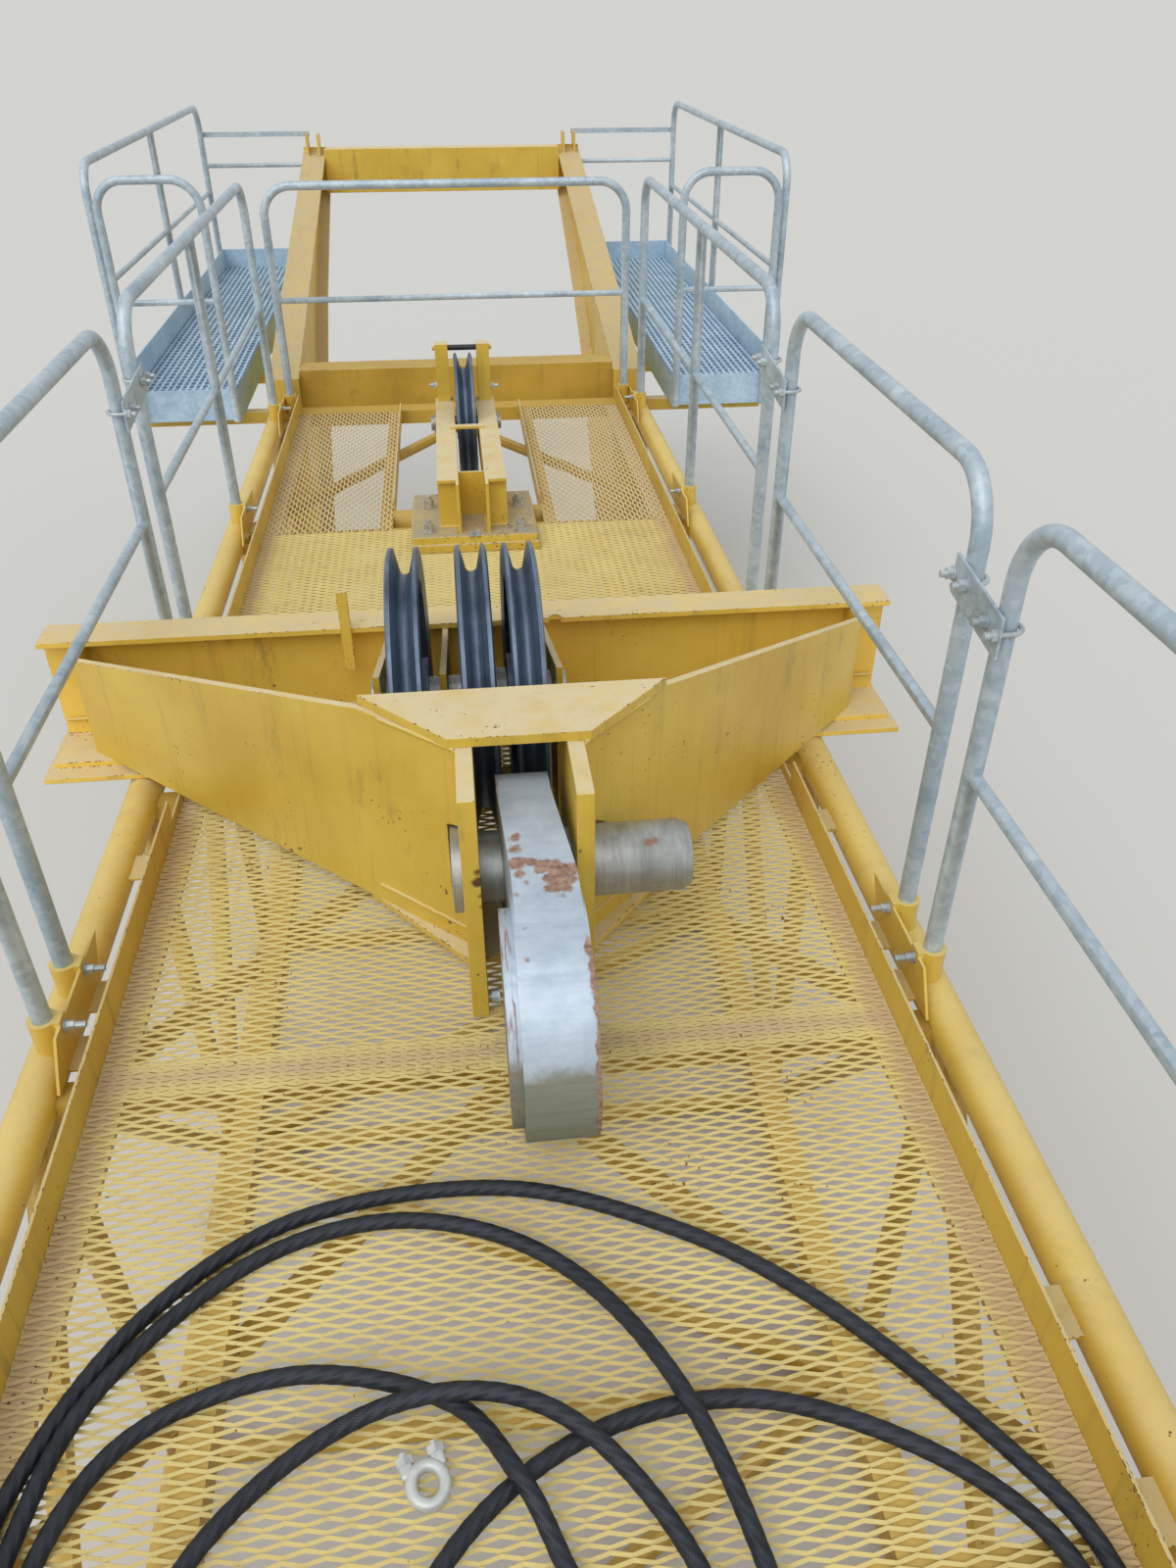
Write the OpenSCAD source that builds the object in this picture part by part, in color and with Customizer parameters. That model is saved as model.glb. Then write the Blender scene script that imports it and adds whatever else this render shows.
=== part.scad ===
// Rear counter-jib section of a tower crane, resting on its lower chords.
// Lengths in millimetres. X is across, Y runs to the tail and z = 0 is the deck's top face
// while the pieces are drawn. at_row() moves all of them so that z = 0 is the ground.

/* [Deck] */
// Height of the deck's top face above the ground
deck_h = 1500; // [1300:10:1700]
// Clear width of the deck between its toe boards
deck_w = 1600; // [1500:10:1700]
// Length of the deck in front of the first measured line
near_run = 1200; // [1100:50:1400]
// Line where the first two mesh sheets meet, over a bearer
joint_y = 1600; // [1550:10:1650]
// Pitch of the bearers and of the lattice posts
bay = 1000; // [960:10:1000]
// Near edge of the open well behind the sheave stand
well_near = 4350; // [4300:10:4400]
// Half of the well's width
well_half = 295; // [285:5:330]
// End of the deck, where the tail frame starts
root_y = 6030; // [6000:10:6100]
// Thickness of a mesh sheet
mesh_t = 5; // [3:1:8]
// Height of the toe boards over the deck
toe_h = 80; // [60:5:100]
// Thickness of the toe boards
toe_t = 6; // [4:1:8]
// Width of the toe board's foot, under the mesh
toe_foot = 60; // [30:1:80]

/* [Chords and lattice] */
// Outer diameter of the four chord tubes
chord_d = 89; // [80:1:95]
// Wall of the chord tubes
chord_wall = 8; // [5:0.5:10]
// Distance of a chord's axis from the middle
chord_x = 920; // [910:1:940]
// Depth of the upper chords' axes below the deck
chord_drop = 30; // [25:1:35]
// Diameter of the posts and diagonals
brace_d = 60; // [50:1:70]
// Diameter of the bracing under the deck
under_d = 50; // [40:1:60]
// Height of the bearers under the mesh
bearer_h = 60; // [50:1:70]
// Width of the bearers
bearer_w = 60; // [50:1:70]
// Width of the two lengthwise stringers
stringer_w = 50; // [40:1:60]
// Distance of a stringer from the middle
stringer_x = 500; // [420:10:560]
// Thickness of the eye plates at the near end
eye_t = 40; // [30:1:50]
// Bore of the eye plates
eye_bore = 40; // [30:1:46]
// Distance from the chord's end to the eye's centre
eye_reach = 70; // [60:1:90]

/* [Rails] */
// Diameter of the rail hoops
rail_d = 38; // [34:1:42]
// Diameter of the middle rails
mid_d = 27; // [22:1:32]
// Height of the deck rails' top tube
rail_h = 1050; // [1000:10:1100]
// Height of the deck rails' middle tube
mid_h = 530; // [480:10:580]
// Radius of the hoops' bends
bend_r = 130; // [100:5:150]
// Distance of the rail legs from the middle
rail_x = 905; // [900:1:912]
// Outer diameter of the sockets that hold the legs
socket_d = 58; // [54:1:62]
// Height of the sockets' rims
socket_h = 90; // [70:5:110]
// Clearance of a leg in its socket
leg_gap = 0.3; // [0.2:0.05:0.5]

/* [Pulley beam] */
// Middle of the beam's nose
beam_x = 60; // [45:1:65]
// Front face of the rear girder's web
web_y = 2855; // [2830:5:2880]
// Half of the rear girder's length
beam_half = 1150; // [1120:10:1180]
// Top of the rear girder
girder_top = 350; // [330:5:370]
// Width of the rear girder's flanges
flange_w = 110; // [100:2:130]
// Plate thickness of the beam
plate_t = 16; // [12:1:20]
// Distance of the front plates' outer ends from the middle
wing_x = 1050; // [1020:5:1080]
// Place of the front plates' outer ends along the deck
wing_y = 2750; // [2730:5:2770]
// Height of the front plates at their outer ends
wing_top = 326; // [310:2:328]
// Underside of the nose's top plate
nose_top = 550; // [530:5:570]
// Front end of the nose lugs
lug_y = 1690; // [1670:5:1710]
// Thickness of each nose lug
lug_t = 34; // [30:1:42]
// Gap between the nose lugs
lug_gap = 184; // [176:1:190]

/* [Pin and link] */
// Diameter of the big pin
pin_d = 150; // [140:1:160]
// Place of the pin along the deck
pin_y = 1850; // [1845:1:1860]
// Height of the pin over the deck
pin_z = 270; // [265:1:280]
// Radial clearance of the pin
pin_gap = 0.08; // [0.05:0.01:0.1]
// Free end of the pin, from the middle of the deck
pin_end = 400; // [370:5:420]
// Radius of the link's back eye
link_back_r = 188; // [180:1:188]
// Radius of the link's front eye
link_front_r = 220; // [210:1:220]
// Place of the front eye along the deck
link_eye_y = 1470; // [1460:1:1480]
// Height of the front eye over the deck
link_eye_z = 226; // [226:1:236]
// Thickness of the link's core at the pin
link_core_t = 106; // [96:1:112]
// Thickness of the link's front eye
link_front_t = 128; // [120:1:132]
// Thickness of the cheek plate on the left of the front eye
link_cheek_t = 22; // [16:1:26]
// Radius of that cheek plate
link_cheek_r = 195; // [185:1:200]
// Bore of the front eye
link_bore = 120; // [100:1:130]

/* [Sheaves] */
// Radius of the three beam sheaves
sheave_r = 345; // [330:1:345]
// Width of their rims
sheave_w = 75; // [66:1:78]
// Place of their axle along the deck
sheave_y = 2420; // [2415:1:2440]
// Height of their axle over the deck
sheave_z = 360; // [355:1:370]
// Diameter of their axle
axle_d = 80; // [70:1:90]
// Depth of a sheave's rope groove
groove_depth = 62; // [50:1:66]
// Radius of the round bottom of a rope groove
groove_r = 14; // [12:0.5:16]
// Places of the beam sheaves across the deck
sheave_1_x = -165; // [-167:1:-163]
// Middle sheave
sheave_2_x = -10; // [-12:1:-8]
// Right sheave
sheave_3_x = 100; // [98:1:102]
// Thickness of the cheek plates that carry the axle
cheek_t = 16; // [12:1:18]
// Left cheek plate's middle
cheek_1_x = -235; // [-240:1:-232]
// Middle cheek plate's middle
cheek_2_x = -88; // [-90:1:-85]
// Right cheek plate's middle
cheek_3_x = 172; // [168:1:176]

/* [Sheave stand] */
// Middle of the stand
stand_x = 20; // [10:1:30]
// Near edge of its base plates
stand_y = 4100; // [4090:5:4120]
// Length of its base plates
base_l = 470; // [440:5:500]
// Width of its base plates
base_w = 487; // [460:1:500]
// Thickness of each of the two base plates
base_t = 30; // [24:1:34]
// Top of the stand's arms
arm_top = 250; // [240:2:260]
// Far end of the arms
arm_end = 5250; // [5230:5:5270]
// Gap between the two arms
arm_gap = 98; // [94:1:104]
// Width of each arm
arm_w = 80; // [70:1:90]
// Radius of the stand's sheave
stand_r = 290; // [280:1:300]
// Width of the stand's sheave
stand_sheave_w = 80; // [74:1:82]
// Place of the stand's axle along the deck
stand_axle_y = 5140; // [5130:1:5150]
// Height of the stand's axle over the deck
stand_axle_z = 170; // [165:1:180]
// Diameter of the stand's axle
stand_axle_d = 60; // [50:1:70]

/* [Tail frame] */
// Far end of the tail girders
tip_y = 9150; // [9100:10:9200]
// Top of a tail girder where it starts
tail_top_near = 140; // [130:1:150]
// Top of a tail girder at its tip
tail_top_far = 850; // [830:5:870]
// Depth of a tail girder at its tip
tip_depth = 275; // [260:5:290]
// Distance of a tail girder's middle from the middle of the deck
tail_x = 875; // [865:5:885]
// Width of its flanges
tail_flange_w = 150; // [140:2:160]
// Thickness of its flanges
tail_flange_t = 16; // [12:1:20]
// Thickness of its web
tail_web_t = 12; // [8:1:14]
// Place of the near crossbeam
cross_near_y = 6100; // [6080:5:6120]
// Place of the far crossbeam
cross_far_y = 9000; // [8960:5:9010]
// Height of the far crossbeam
cross_far_h = 266; // [250:2:270]

/* [Catwalks] */
// Near end of the catwalks
cat_near = 6000; // [5990:5:6020]
// Inner edge of a catwalk from the middle
cat_in = 1100; // [1080:5:1120]
// Width of a catwalk
cat_w = 500; // [480:5:520]
// Height of the walking face over the deck
cat_z = 110; // [100:2:120]
// Depth of the catwalk planks
plank_h = 60; // [50:2:70]
// Height of the kick plates over the walking face
kick_h = 120; // [100:5:150]
// Thickness of the kick plates
kick_t = 6; // [4:1:8]
// Height of the catwalks' outer rail
cat_rail_h = 1110; // [1080:5:1130]

/* [Hidden] */

weld_gap = 0.3;
left = -1;
right = 1;
$fn = 48;

yellow = "goldenrod";
galvanised = "lightslategray";
dark_steel = "dimgray";
silver = "silver";

// Chords and lattice
chord_top_z = -chord_drop;
chord_low_z = chord_d / 2 - deck_h;
chord_crest = chord_top_z + chord_d / 2;
near_end = -near_run;
eye_plug = 20;
post_near = near_end + 50;
post_far = root_y - 80;
posts = concat([post_near], [for (k = [-2 : 3]) joint_y + k * bay], [post_far]);
row_y = (near_end - eye_reach - chord_d / 2 + tip_y + kick_t) / 2;
end_bearer_near = post_far - bearer_w / 2;
post_in = chord_x - brace_d / 2 - weld_gap;
under_z = -mesh_t - bearer_h - weld_gap - under_d / 2;
sheet_edge = 40;
sheet_bar = 36;
sheet_columns = 12;
sheet_rows = 14;
rear_columns = 4;
rear_rows = 8;

// Toe boards and sockets
half_w = deck_w / 2;
toe_out = half_w + toe_t;
toe_low = -20;
toe_ties = [-600, 200, 650, 950, 2300];
tie_w = 90;
tie_t = 8;
well_toe_h = 40;
gusset_t = 6;
gusset_half = 160;
gusset_lean = 30;
web_w = 36;
gusset_x = chord_x - chord_d / 2 - gusset_t - 1.5;
leg_foot = chord_crest + weld_gap;
socket_ys = [1700, 1860, 3160, 3380, 4470, 5800];
gusset_ys = [-1000, 350, 1780, 3270, 4470, 5800];
rail_near_y = gusset_ys[0];
rail_near_post = gusset_ys[1];
end_rail_y = 5950;
end_rail_x = half_w + 40;
splice_t = 6;
splice_w = 80;
splice_over = 30;
splice_rise = 30;
splice_drop = 260;
splice_z = rail_h - splice_drop;
notch_near = 2440;
notch_far = web_y + flange_w / 2 + 20;
notch_top = 25;

// Pulley beam
foot_t = 16;
foot_low = chord_crest + weld_gap;
beam_low = foot_low + 2 * foot_t;
web_t = 14;
flange_near = web_y + web_t / 2 - flange_w / 2;
flange_far = flange_near + flange_w;
lug_in = lug_gap / 2;
lug_out = lug_in + lug_t;
lug_back = 2046;
nose_front_y = 1880;
nose_back_y = 2060;
nose_front_x = 140;
nose_back_x = 320;
nose_t = 22;
nose_low_front = 130;
nose_low_back = 345;
nose_low_y = 1820;
pad_in = 850;
collar_w = 15;
collar_t = 8;
pin_head_t = 22;
pin_room = 5;
foot_out = beam_half + 20;
lug_low = 5;
cheek_near = 2250;
cheek_top = 505;
guide_x = -350;
guide_w = 28;
guide_z = [230, 460];
notch_x = 210;
notch_w = 30;
notch_depth = 18;

// Link: its front eye lies beside the right lug, and its core widens towards that eye
link_side_gap = 5;
link_aside = 3;
link_taper = 130;
link_step = 4;

// Sheaves
hub_w = 80;
hub_d = 170;
stand_hub_w = 84;
stand_hub_d = 140;
rim_floor = 24;
rim_lip = 12;
disc_half = 11;
run_gap = 0.08;
seat_gap = 0.05;

// Stand
arm_low = 2 * base_t;
arm_in = arm_gap / 2;
arm_out = arm_in + arm_w;
arm_wall = 12;
centre_in = 225;
keeper_z = 472;
keeper_d = 20;
stand_bearer_y = stand_y + base_l - bearer_w;

// Tail frame
girder_near = root_y + plate_t;
tail_in = tail_x - tail_flange_w / 2;
tail_out = tail_x + tail_flange_w / 2;
tail_web_in = tail_x - tail_web_t / 2;
tail_web_out = tail_x + tail_web_t / 2;
// Lower edge of a tail girder, in Y and Z: a foot, a straight leg, then two bends to the tip
tail_foot = 170;
tail_under = [[girder_near, -deck_h], [girder_near + tail_foot, -deck_h], [7600, -160],
    [8100, 125], [tip_y - plate_t, tail_top_far - tip_depth]];
tip_lug_y = tip_y - plate_t - 110;
tip_lug_t = 15;
tip_lug_h = 100;
cross_near_low = -41;

// Catwalks
cat_out = cat_in + cat_w;
rail_out_x = cat_out + kick_t + weld_gap + rail_d / 2;
hoop_y = cat_near - kick_t - weld_gap - rail_d / 2;
plank_gap = 4;
plank_t = 5;
end_plate_h = 150;
end_plate_low = cat_z - end_plate_h;
outrigger_h = 60;
outrigger_top = end_plate_low;
hanger_t = 12;
hanger_w = 80;
post_ys = [6020, 7575, tip_y - rail_d / 2 - weld_gap];
outrigger_ys = [6150, 6900, post_ys[1], 9050];
cat_mid_h = 600;
tie_z = 945;
tie_h = 30;
tie_tube_z = 760;

// Rope on the deck: points along its middle, laid by hand
rope_d = 28;
rope_rings = 96;
rope_z = rope_d / 2 + 0.3;
over_z = rope_z + rope_d + 1;
rope_route = [
    [560, 230, rope_z], [685, 410, rope_z], [706, 590, rope_z], [575, 745, rope_z],
    [330, 855, rope_z], [80, 832, rope_z], [-120, 705, rope_z], [-230, 500, rope_z],
    [-200, 290, rope_z], [-40, 190, rope_z], [90, 290, rope_z], [85, 490, rope_z],
    [20, 680, rope_z], [-32, 780, over_z], [-130, 905, rope_z], [-350, 968, rope_z],
    [-560, 920, rope_z], [-665, 800, rope_z], [-690, 620, rope_z], [-610, 410, rope_z],
    [-450, 290, rope_z], [-240, 170, rope_z], [0, 100, rope_z], [180, 190, rope_z],
    [240, 400, rope_z], [205, 640, rope_z], [68, 828, over_z], [-102, 901, over_z],
    [-300, 875, rope_z], [-480, 725, rope_z], [-535, 520, rope_z], [-487, 315, over_z],
    [-340, 120, rope_z], [-80, 0, rope_z], [190, 30, rope_z], [325, 250, rope_z],
    [312, 520, rope_z], [228, 848, over_z], [65, 1105, rope_z], [-184, 1218, rope_z],
    [-440, 1172, rope_z], [-655, 976, rope_z], [-722, 760, rope_z], [-728, 560, rope_z],
    [-650, 300, rope_z], [-430, 40, rope_z], [-80, -110, rope_z], [270, -80, rope_z],
    [580, 110, rope_z], [735, 380, rope_z], [755, 580, rope_z], [679, 740, rope_z],
    [480, 985, rope_z], [261, 1152, rope_z], [-30, 1266, rope_z], [-376, 1244, rope_z],
    [-610, 1085, rope_z], [-742, 845, rope_z], [-757, 660, rope_z], [-735, 470, rope_z]];

clip_at = [-157, 790, 0.3];
clip_turn = 17;

// Heights along a tail girder
function girder_z(y) = tail_top_near
    + (tail_top_far - tail_top_near) * (y - root_y) / (tip_y - root_y);

// A smooth curve through the points p, at t from 0 to len(p) - 1
function pick(p, i) = p[max(0, min(len(p) - 1, i))];
function smooth(p, t) = let (i = min(floor(t), len(p) - 2), u = t - i,
    a = pick(p, i - 1), b = pick(p, i), c = pick(p, i + 1), d = pick(p, i + 2))
    (2 * b + (c - a) * u + (2 * a - 5 * b + 4 * c - d) * u * u
        + (3 * b - a - 3 * c + d) * u * u * u) / 2;

module at_row() {
    translate([0, -row_y, deck_h]) children();
}

module side(s) {
    if (s < 0) mirror([1, 0, 0]) children();
    else children();
}

// A box from its two limits along each axis
module block(x, y, z) {
    translate([x[0], y[0], z[0]]) cube([x[1] - x[0], y[1] - y[0], z[1] - z[0]]);
}

// A round bar between two points, with few sides
module bar(p, q, d) {
    v = q - p;
    h = norm(v);
    translate(p) rotate([0, acos(v[2] / h), atan2(v[1], v[0])]) cylinder(h = h, d = d, $fn = 8);
}

module rod_x(x, y, z, d) {
    translate([x[0], y, z]) rotate([0, 90, 0]) cylinder(h = x[1] - x[0], d = d);
}

module rod_y(x, y, z, d) {
    translate([x, y[0], z]) rotate([-90, 0, 0]) cylinder(h = y[1] - y[0], d = d);
}

module rod_z(x, y, z, d) {
    translate([x, y, z[0]]) cylinder(h = z[1] - z[0], d = d);
}

// A plate that stands along Y: its outline is in Y and Z
module plate_x(x0, t, outline) {
    translate([x0, 0, 0]) rotate([90, 0, 90]) linear_extrude(t) polygon(outline);
}

// A flat plate: its outline is in X and Y
module plate_z(z0, t, outline) {
    translate([0, 0, z0]) linear_extrude(t) polygon(outline);
}

// The space of both chords of one side, with the weld gap round them
module chord_space(z) {
    rod_y(chord_x, [near_end - 10, root_y + 10], z, chord_d + 2 * weld_gap);
}

module chord(s, z) {
    side(s) color(yellow) difference() {
        union() {
            rod_y(chord_x, [near_end, root_y], z, chord_d);
            block([chord_x - eye_t / 2, chord_x + eye_t / 2], [near_end - eye_reach, near_end],
                [z - chord_d / 2, z + chord_d / 2]);
            rod_x([chord_x - eye_t / 2, chord_x + eye_t / 2], near_end - eye_reach, z, chord_d);
        }
        rod_y(chord_x, [near_end + eye_plug, root_y + 1], z, chord_d - 2 * chord_wall);
        rod_x([chord_x - eye_t, chord_x + eye_t], near_end - eye_reach, z, eye_bore);
    }
}

module side_lattice(s) {
    side(s) color(yellow) difference() {
        union() {
            for (y = posts) bar([chord_x, y, chord_low_z], [chord_x, y, chord_top_z], brace_d);
            for (i = [0 : len(posts) - 2])
                bar([chord_x, posts[i], i % 2 == 0 ? chord_low_z : chord_top_z],
                    [chord_x, posts[i + 1], i % 2 == 0 ? chord_top_z : chord_low_z], brace_d);
        }
        chord_space(chord_low_z);
        chord_space(chord_top_z);
    }
}

module bottom_lattice() {
    color(yellow) difference() {
        union() {
            for (y = posts) bar([-chord_x, y, chord_low_z], [chord_x, y, chord_low_z], brace_d);
            for (i = [0 : len(posts) - 2]) {
                s = i % 2 == 0 ? 1 : -1;
                bar([-s * chord_x, posts[i], chord_low_z], [s * chord_x, posts[i + 1], chord_low_z],
                    brace_d);
            }
        }
        for (s = [left, right]) side(s) chord_space(chord_low_z);
    }
}

// A cross bearer under the mesh, notched for the toe boards' feet at its ends
module bearer(y) {
    block([toe_foot - half_w, half_w - toe_foot], y, [-mesh_t - bearer_h, -mesh_t]);
    block([-post_in, post_in], y, [-mesh_t - bearer_h, toe_low]);
}

// Packing that lifts a bearer's middle to the foot of the sheave stand
module stand_packing(y) {
    block([stand_x - base_w / 2, stand_x + base_w / 2], y, [-mesh_t - 1, 0]);
}

// Bearers and stringers of the near deck
module deck_bearers() {
    color(yellow) difference() {
        union() {
            for (y = concat([near_end + bearer_w / 2],
                    [for (k = [-2 : 2]) joint_y + k * bay], [well_near]))
                bearer([y - bearer_w / 2, y + bearer_w / 2]);
            stand_packing([well_near, well_near + bearer_w / 2]);
            for (s = [left, right]) side(s)
                block([stringer_x - stringer_w / 2, stringer_x + stringer_w / 2],
                    [near_end, well_near], [-mesh_t - bearer_h, -mesh_t]);
        }
        for (s = [left, right]) side(s) chord_space(chord_top_z);
    }
}

// Frame round the open well: two stringers, the end bearer and the stand's bearer
module well_bearers() {
    color(yellow) difference() {
        union() {
            block([-half_w, half_w], [end_bearer_near, root_y], [-mesh_t - bearer_h, 0]);
            block([-post_in, post_in], [end_bearer_near, root_y],
                [-mesh_t - bearer_h, toe_low]);
            block([-well_half - toe_t, well_half + toe_t],
                [stand_bearer_y, stand_bearer_y + bearer_w], [-mesh_t - bearer_h, -mesh_t]);
            stand_packing([stand_bearer_y, stand_bearer_y + bearer_w]);
            for (s = [left, right]) side(s)
                block([well_half + toe_t, well_half + toe_t + stringer_w],
                    [well_near + bearer_w / 2, root_y], [-mesh_t - bearer_h, -mesh_t]);
        }
        for (s = [left, right]) side(s) chord_space(chord_top_z);
    }
}

// Round bracing under the bearers, in a row of Vs between the posts
module deck_bracing() {
    color(yellow) for (s = [left, right]) side(s) difference() {
        for (i = [0 : len(posts) - 2])
            bar([0, posts[i + 1], under_z], [chord_x, posts[i], under_z], under_d);
        block([-under_d, weld_gap / 2], [near_end, root_y + under_d],
            [under_z - under_d, under_z + under_d]);
        block([post_in, chord_x + brace_d], [near_end, root_y],
            [under_z - under_d, under_z + under_d]);
    }
}

// A mesh sheet, drawn as a plain grid of openings
module deck_sheet(x, y, columns, rows) {
    step_x = (x[1] - x[0] - 2 * sheet_edge + sheet_bar) / columns;
    step_y = (y[1] - y[0] - 2 * sheet_edge + sheet_bar) / rows;
    color(yellow) translate([0, 0, -mesh_t]) linear_extrude(mesh_t) difference() {
        translate([x[0], y[0]]) square([x[1] - x[0], y[1] - y[0]]);
        for (i = [0 : columns - 1], j = [0 : rows - 1])
            translate([x[0] + sheet_edge + i * step_x, y[0] + sheet_edge + j * step_y])
                square([step_x - sheet_bar, step_y - sheet_bar]);
    }
}

module deck_mesh_rear(s) {
    side(s) deck_sheet([well_half + toe_t, half_w], [well_near, end_bearer_near],
        rear_columns, rear_rows);
}

// Toe board with its foot under the mesh and its flat ties to the chord
module toe_board(s) {
    side(s) color(yellow) difference() {
        union() {
            block([half_w, toe_out], [near_end, root_y - 40], [toe_low, toe_h]);
            block([half_w - toe_foot, half_w], [near_end, end_bearer_near],
                [toe_low, -mesh_t]);
            for (y = concat(toe_ties, socket_ys, [end_rail_y]))
                block([half_w, chord_x], [y - tie_w / 2, y + tie_w / 2],
                    [toe_low, toe_low + tie_t]);
        }
        chord_space(chord_top_z);
        block([half_w - 1, toe_out + 1], [notch_near, notch_far],
            [notch_top, toe_h + 1]);
    }
}

module well_toe_boards() {
    color(yellow) for (s = [left, right]) side(s)
        block([well_half, well_half + toe_t], [stand_bearer_y + bearer_w, end_bearer_near],
            [toe_low, well_toe_h]);
}

// Cups for the rail legs, on gusset plates that stand on the ties
module rail_sockets(s) {
    side(s) color(yellow) {
        difference() {
            union() {
                for (y = concat([rail_near_y, rail_near_post], socket_ys)) {
                    rod_z(rail_x, y, [toe_low + tie_t, socket_h], socket_d);
                    block([gusset_x, rail_x], [y - web_w / 2, y + web_w / 2], [20, socket_h]);
                }
                for (y = gusset_ys)
                    plate_x(gusset_x, gusset_t, [
                        [y - gusset_half - gusset_lean, toe_low + tie_t],
                        [y + gusset_half - gusset_lean, toe_low + tie_t],
                        [y + gusset_half + gusset_lean, socket_h - 10],
                        [y - gusset_half + gusset_lean, socket_h - 10]]);
            }
            chord_space(chord_top_z);
            for (y = concat([rail_near_y, rail_near_post], socket_ys))
                rod_z(rail_x, y, [leg_foot - 1, socket_h + 1], rail_d + 2 * leg_gap);
        }
        difference() {
            union() {
                rod_z(end_rail_x, end_rail_y, [toe_low + tie_t, socket_h], socket_d);
                block([toe_out, end_rail_x], [end_rail_y - web_w / 2, end_rail_y + web_w / 2],
                    [toe_low + tie_t, socket_h - 20]);
            }
            block([half_w, toe_out], [end_rail_y - tie_w / 2, end_rail_y + tie_w / 2],
                [toe_low, toe_h]);
            rod_z(end_rail_x, end_rail_y, [0, socket_h + 1], rail_d + 2 * leg_gap);
        }
    }
}

// Rail pieces are drawn flat, u along the rail and v up, then stood up
module leg(u, v, d) {
    translate([u, v[0], 0]) rotate([-90, 0, 0]) cylinder(h = v[1] - v[0], d = d, $fn = 32);
}

module run(u, v, d) {
    translate([u[0], v, 0]) rotate([0, 90, 0]) cylinder(h = u[1] - u[0], d = d, $fn = 32);
}

module bend(u, v, turn) {
    translate([u, v, 0]) rotate([0, 0, turn]) rotate_extrude(angle = 90)
        translate([bend_r, 0]) circle(d = rail_d, $fn = 32);
}

module hoop(w, foot, top, mids, inner_legs) {
    leg(0, [foot, top - bend_r], rail_d);
    leg(w, [foot, top - bend_r], rail_d);
    bend(bend_r, top - bend_r, 90);
    bend(w - bend_r, top - bend_r, 0);
    run([bend_r, w - bend_r], top, rail_d);
    for (m = mids) run([0, w], m, mid_d);
    for (u = inner_legs) leg(u, [foot, top], rail_d);
}

module along(x, y) {
    translate([x, y, 0]) rotate([90, 0, 90]) children();
}

module across(x, y) {
    translate([x, y, 0]) rotate([90, 0, 0]) children();
}

module deck_rail(s, y0, y1, inner) {
    side(s) color(galvanised) along(rail_x, y0) hoop(y1 - y0, leg_foot, rail_h, [mid_h],
        [for (y = inner) y - y0]);
}

module rail_end() {
    color(galvanised) across(-end_rail_x, end_rail_y)
        hoop(2 * end_rail_x, 0, rail_h - 30, [mid_h], []);
}

// Flat plates that bolt neighbouring rail legs together
module rail_splices() {
    splice_x = rail_x - rail_d / 2 - weld_gap - splice_t;
    color(galvanised) for (s = [left, right]) side(s)
        for (y = [[socket_ys[0], socket_ys[1]], [socket_ys[2], socket_ys[3]]])
            plate_x(splice_x, splice_t, [[y[0] - splice_over, splice_z],
                [y[1] + splice_over, splice_z + splice_rise],
                [y[1] + splice_over, splice_z + splice_rise + splice_w],
                [y[0] - splice_over, splice_z + splice_w]]);
}

// Straight I-girder at the back of the pulley beam, with its feet on the chords
module beam_girder() {
    color(yellow) {
        block([-beam_half, beam_half], [web_y, web_y + web_t], [beam_low, girder_top - foot_t]);
        difference() {
            block([-beam_half, beam_half], [flange_near, flange_far],
                [girder_top - foot_t, girder_top]);
            block([notch_x - notch_w / 2, notch_x + notch_w / 2],
                [flange_near - 1, flange_near + notch_depth],
                [girder_top - foot_t - 1, girder_top + 1]);
        }
        block([-beam_half, beam_half], [flange_near, flange_far], [foot_low + foot_t, beam_low]);
        for (s = [left, right]) side(s) {
            block([pad_in, beam_half], [wing_y - 50, flange_far], [foot_low + foot_t, beam_low]);
            block([pad_in, foot_out], [wing_y - 100, flange_far], [foot_low, foot_low + foot_t]);
        }
        block([guide_x - guide_w / 2, guide_x + guide_w / 2], [flange_near - 12, flange_near],
            guide_z);
    }
}

// Front plates of the beam, in a V from the feet to the nose
module wing(s) {
    mid_x = s * beam_x;
    inner_x = mid_x + lug_out;
    slope = (wing_y - nose_front_y) / (wing_x - nose_front_x - mid_x);
    near_y = nose_front_y + slope * (inner_x - nose_front_x - mid_x);
    far_y = near_y + web_t * sqrt(1 + slope * slope);
    end_x = wing_x - web_t;
    crest = [mid_x + nose_back_x, nose_top];
    past = crest + 1.1 * ([wing_x, wing_top] - crest);
    side(s) difference() {
        plate_z(beam_low, nose_top - beam_low, [[inner_x, near_y],
            [wing_x, near_y + slope * (wing_x - inner_x)], [wing_x, web_y], [end_x, web_y],
            [end_x, far_y + slope * (end_x - inner_x)], [inner_x, far_y]]);
        translate([0, web_y + 1, 0]) rotate([90, 0, 0]) linear_extrude(web_y - near_y + 2)
            polygon([crest, past, [past[0], nose_top + 1], [crest[0], nose_top + 1]]);
        rod_x([mid_x, inner_x + (s > 0 ? collar_t : pin_head_t) + pin_room], pin_y, pin_z,
            pin_d + 2 * collar_w + 2 * pin_room);
        if (s > 0) rod_x([mid_x, pin_end], pin_y, pin_z, pin_d + 2 * pin_room);
    }
}

module beam_wings() {
    color(yellow) for (s = [left, right]) wing(s);
}

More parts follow.
